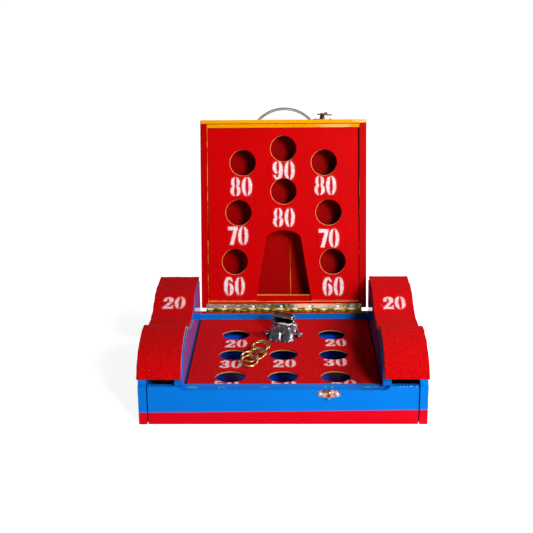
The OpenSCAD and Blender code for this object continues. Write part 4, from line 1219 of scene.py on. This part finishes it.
def screw_heads(name, node, slot, body, radius, axis, finish):
    """Slotted heads over the CAD's plain ones: each is a grid of rings and spokes, domed as a cap
    of a ball, with a flat-bottomed slot across it and a skirt down into its seat."""
    axis = Vector(axis).normalized()
    side = axis.orthogonal().normalized()
    rings, spokes = 12, 36
    r, t = np.meshgrid(np.linspace(0.001, 1, rings) * radius,
                       np.linspace(0, 2 * math.pi, spokes + 1)[:-1], indexing="ij")
    dome = 0.42 * radius * (1 - (r / radius) ** 2)
    skirt = np.full((1, spokes), -0.35 * radius)
    ring_r, ring_t = np.concatenate([r, r[-1:]]), np.concatenate([t, t[-1:]])
    points, faces = [], []
    for i, middle in enumerate(lump_middles(NODES[node].data)):
        in_slot = np.abs(np.sin(t - (0.4 + 0.7 * i)) * r) < 0.16 * radius
        height = np.where(in_slot, np.minimum(dome, 0.08 * radius), dome)
        height = np.concatenate([height, skirt])
        place = np.stack([ring_r * np.cos(ring_t), ring_r * np.sin(ring_t), height], -1)
        place = place @ np.array([side, axis.cross(side), axis]) + middle
        at = i * place[..., 0].size + np.arange(place[..., 0].size).reshape(rings + 1, spokes)
        points.append(place.reshape(-1, 3))
        faces.append(wrapped_faces(at))
    obj = mesh_object(name, np.concatenate(points), np.concatenate(faces))
    with edited(obj) as work:
        bmesh.ops.holes_fill(work, edges=[e for e in work.edges if e.is_boundary], sides=0)
        bmesh.ops.recalc_face_normals(work, faces=work.faces)
    finish_piece(obj, finish, body, slot, node)


class FROGTOSS_OT_fittings(bpy.types.Operator):
    """Finishes the hinge, the latch, the handle, the rings and the screws"""
    bl_idname = "frog_toss.fittings"
    bl_label = "Metal fittings"

    def execute(self, context):
        hinge = material("tarnished_hinge_brass", hinge_brass)
        # Pressed steel with a flash of copper: pink where it is rubbed, and brown smears
        copper = material("aged_coppered_steel", metal, "#7A4A3E", "#D9AFA0", 0.26, 5, "#4A3230")
        # Chromium plate on a bent steel bar: close to a mirror
        chrome = material("chromed_bar", metal, "#C9C9C4", "#F4F4F2", 0.08, 20, bump_mm=0.006)
        # Bronze darkened by age: nearly black, with a brown shine where fingers rub it
        bronze = material("darkened_latch_bronze", metal, "#3A2A20", "#8A5A40", 0.30, 4, "#1C1410")
        # Yellow brass, tumbled bright: soft golden highlights
        ring = material("polished_ring_brass", metal, "#A67A38", "#E4C488", 0.30, 7, bump_mm=0.01)
        # Nickel-plated steel: pale, with a soft shine
        steel = material("plated_screw_steel", metal, "#DADADE", "#FAFAFA", 0.34, 3, bump_mm=0.01)
        paint_nodes(hinge, "hinge_leaf_base", "hinge_leaf_lid", "hinge_pin")
        paint_nodes(copper, "keeper_plate", "keeper_peg")
        paint_nodes(bronze, "latch_plate", "latch_rivet", "latch_hook")
        paint_nodes(chrome, "handle", "handle_nuts")
        paint_nodes(ring, *[f"ring_{i}" for i in range(1, 7)])
        lid_out = (0, math.sin(LEAN), math.cos(LEAN))
        for node, slot, body, radius, axis, finish in (
                ("keeper_screws", "bright_steel", "drawer", 1.9 * MM, (0, -1, 0), steel),
                ("latch_screws", "bright_steel", "lid", 1.9 * MM, lid_out, steel),
                ("frog_screws", "hinge_brass", "base", 2.0 * MM, (0, 0, 1), ring)):
            screw_heads("slotted_" + node, node, slot, body, radius, axis, finish)
        paint_nodes(steel, "hinge_screws_base", "hinge_screws_lid")
        return {"FINISHED"}


# Stage

# The camera that the photograph was fitted with: how it is turned in degrees, as pitch down, yaw
# and roll, where it stands in millimetres, and its focal length in pixels of the photo's width
CAMERA_TURN, CAMERA_PLACE = (17.17, -1.38, -0.63), (13.78, -1650.72, 705.49)
FOCAL_PIXELS, PHOTO_PIXELS, SENSOR_MM = 1087.61, 533, 36.0
# The lamps in metres: name, the setting that holds the power, place, what it faces, and size
LAMPS = (("key_softbox", "key", (0.82, -1.87, 1.05), (0, 0.02, 0.15), (0.42, 0.6)),
         ("right_softbox", "side", (0.90, 0.12, 0.85), (0.1, 0.0, 0.1), (0.4, 0.4)),
         ("front_softbox", "front", (0.95, -1.25, 0.45), (0.0, 0.0, 0.1), (0.3, 0.3)))


def soft_light(name, watts, place, aim, size):
    """A rectangular lamp at a place, turned to face another."""
    lamp = bpy.data.lights.new(name, "AREA")
    lamp.shape, lamp.energy = "RECTANGLE", watts
    lamp.size, lamp.size_y = size
    obj = bpy.data.objects.new(name, lamp)
    obj.location = place
    obj.rotation_euler = (Vector(aim) - Vector(place)).to_track_quat("-Z", "Y").to_euler()
    bpy.context.scene.collection.objects.link(obj)


class FROGTOSS_OT_stage(bpy.types.Operator):
    """Sets the floor, the lights, the sky and the camera"""
    bl_idname = "frog_toss.stage"
    bl_label = "Stage"

    def execute(self, context):
        scene = context.scene
        options = settings("stage")
        self.make_camera(scene)
        self.make_floor(options)
        self.make_world(scene, options)
        for name, setting, place, aim, size in LAMPS:
            soft_light(name, getattr(options, setting), place, aim, size)
        scene.view_settings.view_transform = "Standard"
        return {"FINISHED"}

    def make_camera(self, scene):
        """The photograph's viewpoint: its three axes are worked out from its turn."""
        pitch, yaw, roll = (math.radians(a) for a in CAMERA_TURN)
        ahead = np.array([math.sin(yaw) * math.cos(pitch), math.cos(yaw) * math.cos(pitch),
                          -math.sin(pitch)])
        level = np.array([math.cos(yaw), -math.sin(yaw), 0])
        above = np.cross(level, ahead)
        right = level * math.cos(roll) + above * math.sin(roll)
        up = above * math.cos(roll) - level * math.sin(roll)
        lens = bpy.data.cameras.new("camera")
        lens.sensor_fit, lens.sensor_width = "HORIZONTAL", SENSOR_MM
        lens.lens = FOCAL_PIXELS * SENSOR_MM / PHOTO_PIXELS
        lens.clip_end = 100
        camera = bpy.data.objects.new("camera", lens)
        place = np.array(CAMERA_PLACE) * MM
        camera.matrix_world = Matrix((*np.stack([right, up, -ahead, place], -1), (0, 0, 0, 1)))
        scene.collection.objects.link(camera)
        scene.camera = camera

    def make_floor(self, options):
        """A wide round floor that looks white to the camera and in metal, and keeps shadows."""
        radius, drop, spokes = 14, 0.2 * MM, 64
        t = np.linspace(0, 2 * math.pi, spokes + 1)[:-1]
        rim = np.stack([radius * np.cos(t), radius * np.sin(t), np.full(spokes, -drop)], -1)
        floor = mesh_object("pale_floor", rim, np.arange(spokes)[None, :], smooth=False)
        paper, add, shader, spot = new_material("pale_paper_floor")
        ray = add("ray")
        glossy = add("times", ray["Is Glossy Ray"], 0.7)
        seen = add("larger", ray["Is Camera Ray"], glossy)
        level = add("ease", add("length", spot["Object"]), 0.4, 1.2, 0.90, 1.0)
        feed(shader, {
            "Base Color": (*options.floor, 1.0), "Roughness": 0.9, "Specular IOR Level": 0.1,
            "Emission Color": (1, 1, 1, 1), "Emission Strength": add("times", seen, level)})
        floor.data.materials.append(paper)

    def make_world(self, scene, options):
        """Even white light, seen white by the camera. In metal the sky is white along the horizon
        and dark overhead, as a room is round a table."""
        world = bpy.data.worlds.new("even_sky")
        world.use_nodes = True
        world.node_tree.nodes.clear()
        add = functools.partial(add_node, world.node_tree)
        ray = add("ray")
        seen = add("larger", ray["Is Camera Ray"], ray["Is Transmission Ray"])
        height = add("split", add("place")["Object"])[2]
        mirrored = add("times", ray["Is Glossy Ray"], add("ease", height, 0.12, 0.55, 0.95, 0.16))
        strength = add("range", add("larger", seen, mirrored), options.fill, 1.0)
        add("world", add("glow", (1, 1, 1, 1), strength))
        scene.world = world


# Panel and registration

OPERATORS = (
    FROGTOSS_OT_stage, FROGTOSS_OT_case, FROGTOSS_OT_lid, FROGTOSS_OT_target_numerals,
    FROGTOSS_OT_toss_felt, FROGTOSS_OT_shoulder_felt, FROGTOSS_OT_frog, FROGTOSS_OT_fittings)
GROUPS = {
    "paint": FrogTossPaint, "felt": FrogTossFelt, "metal": FrogTossMetal, "stage": FrogTossStage}


class FROGTOSS_PT_sidebar(bpy.types.Panel):
    """Lists the settings and the steps of the frog toss game"""
    bl_idname = "FROGTOSS_PT_sidebar"
    bl_label = "Frog toss"
    bl_space_type = "VIEW_3D"
    bl_region_type = "UI"
    bl_category = "Frog toss"

    def draw(self, context):
        for name, group in GROUPS.items():
            box = self.layout.box()
            box.label(text=name.capitalize())
            for prop in group.__annotations__:
                box.prop(getattr(context.scene, "frog_toss_" + name), prop)
        for operator in OPERATORS:
            self.layout.operator(operator.bl_idname)


CLASSES = (*GROUPS.values(), *OPERATORS, FROGTOSS_PT_sidebar)


def register():
    for cls in CLASSES:
        bpy.utils.register_class(cls)
    for name, group in GROUPS.items():
        setattr(bpy.types.Scene, "frog_toss_" + name, bpy.props.PointerProperty(type=group))


def unregister():
    for name in GROUPS:
        delattr(bpy.types.Scene, "frog_toss_" + name)
    for cls in reversed(CLASSES):
        bpy.utils.unregister_class(cls)


def main():
    """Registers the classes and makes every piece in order."""
    register()
    for operator in OPERATORS:
        group, step = operator.bl_idname.split(".")
        getattr(getattr(bpy.ops, group), step)()


if __name__ == "__main__":
    main()
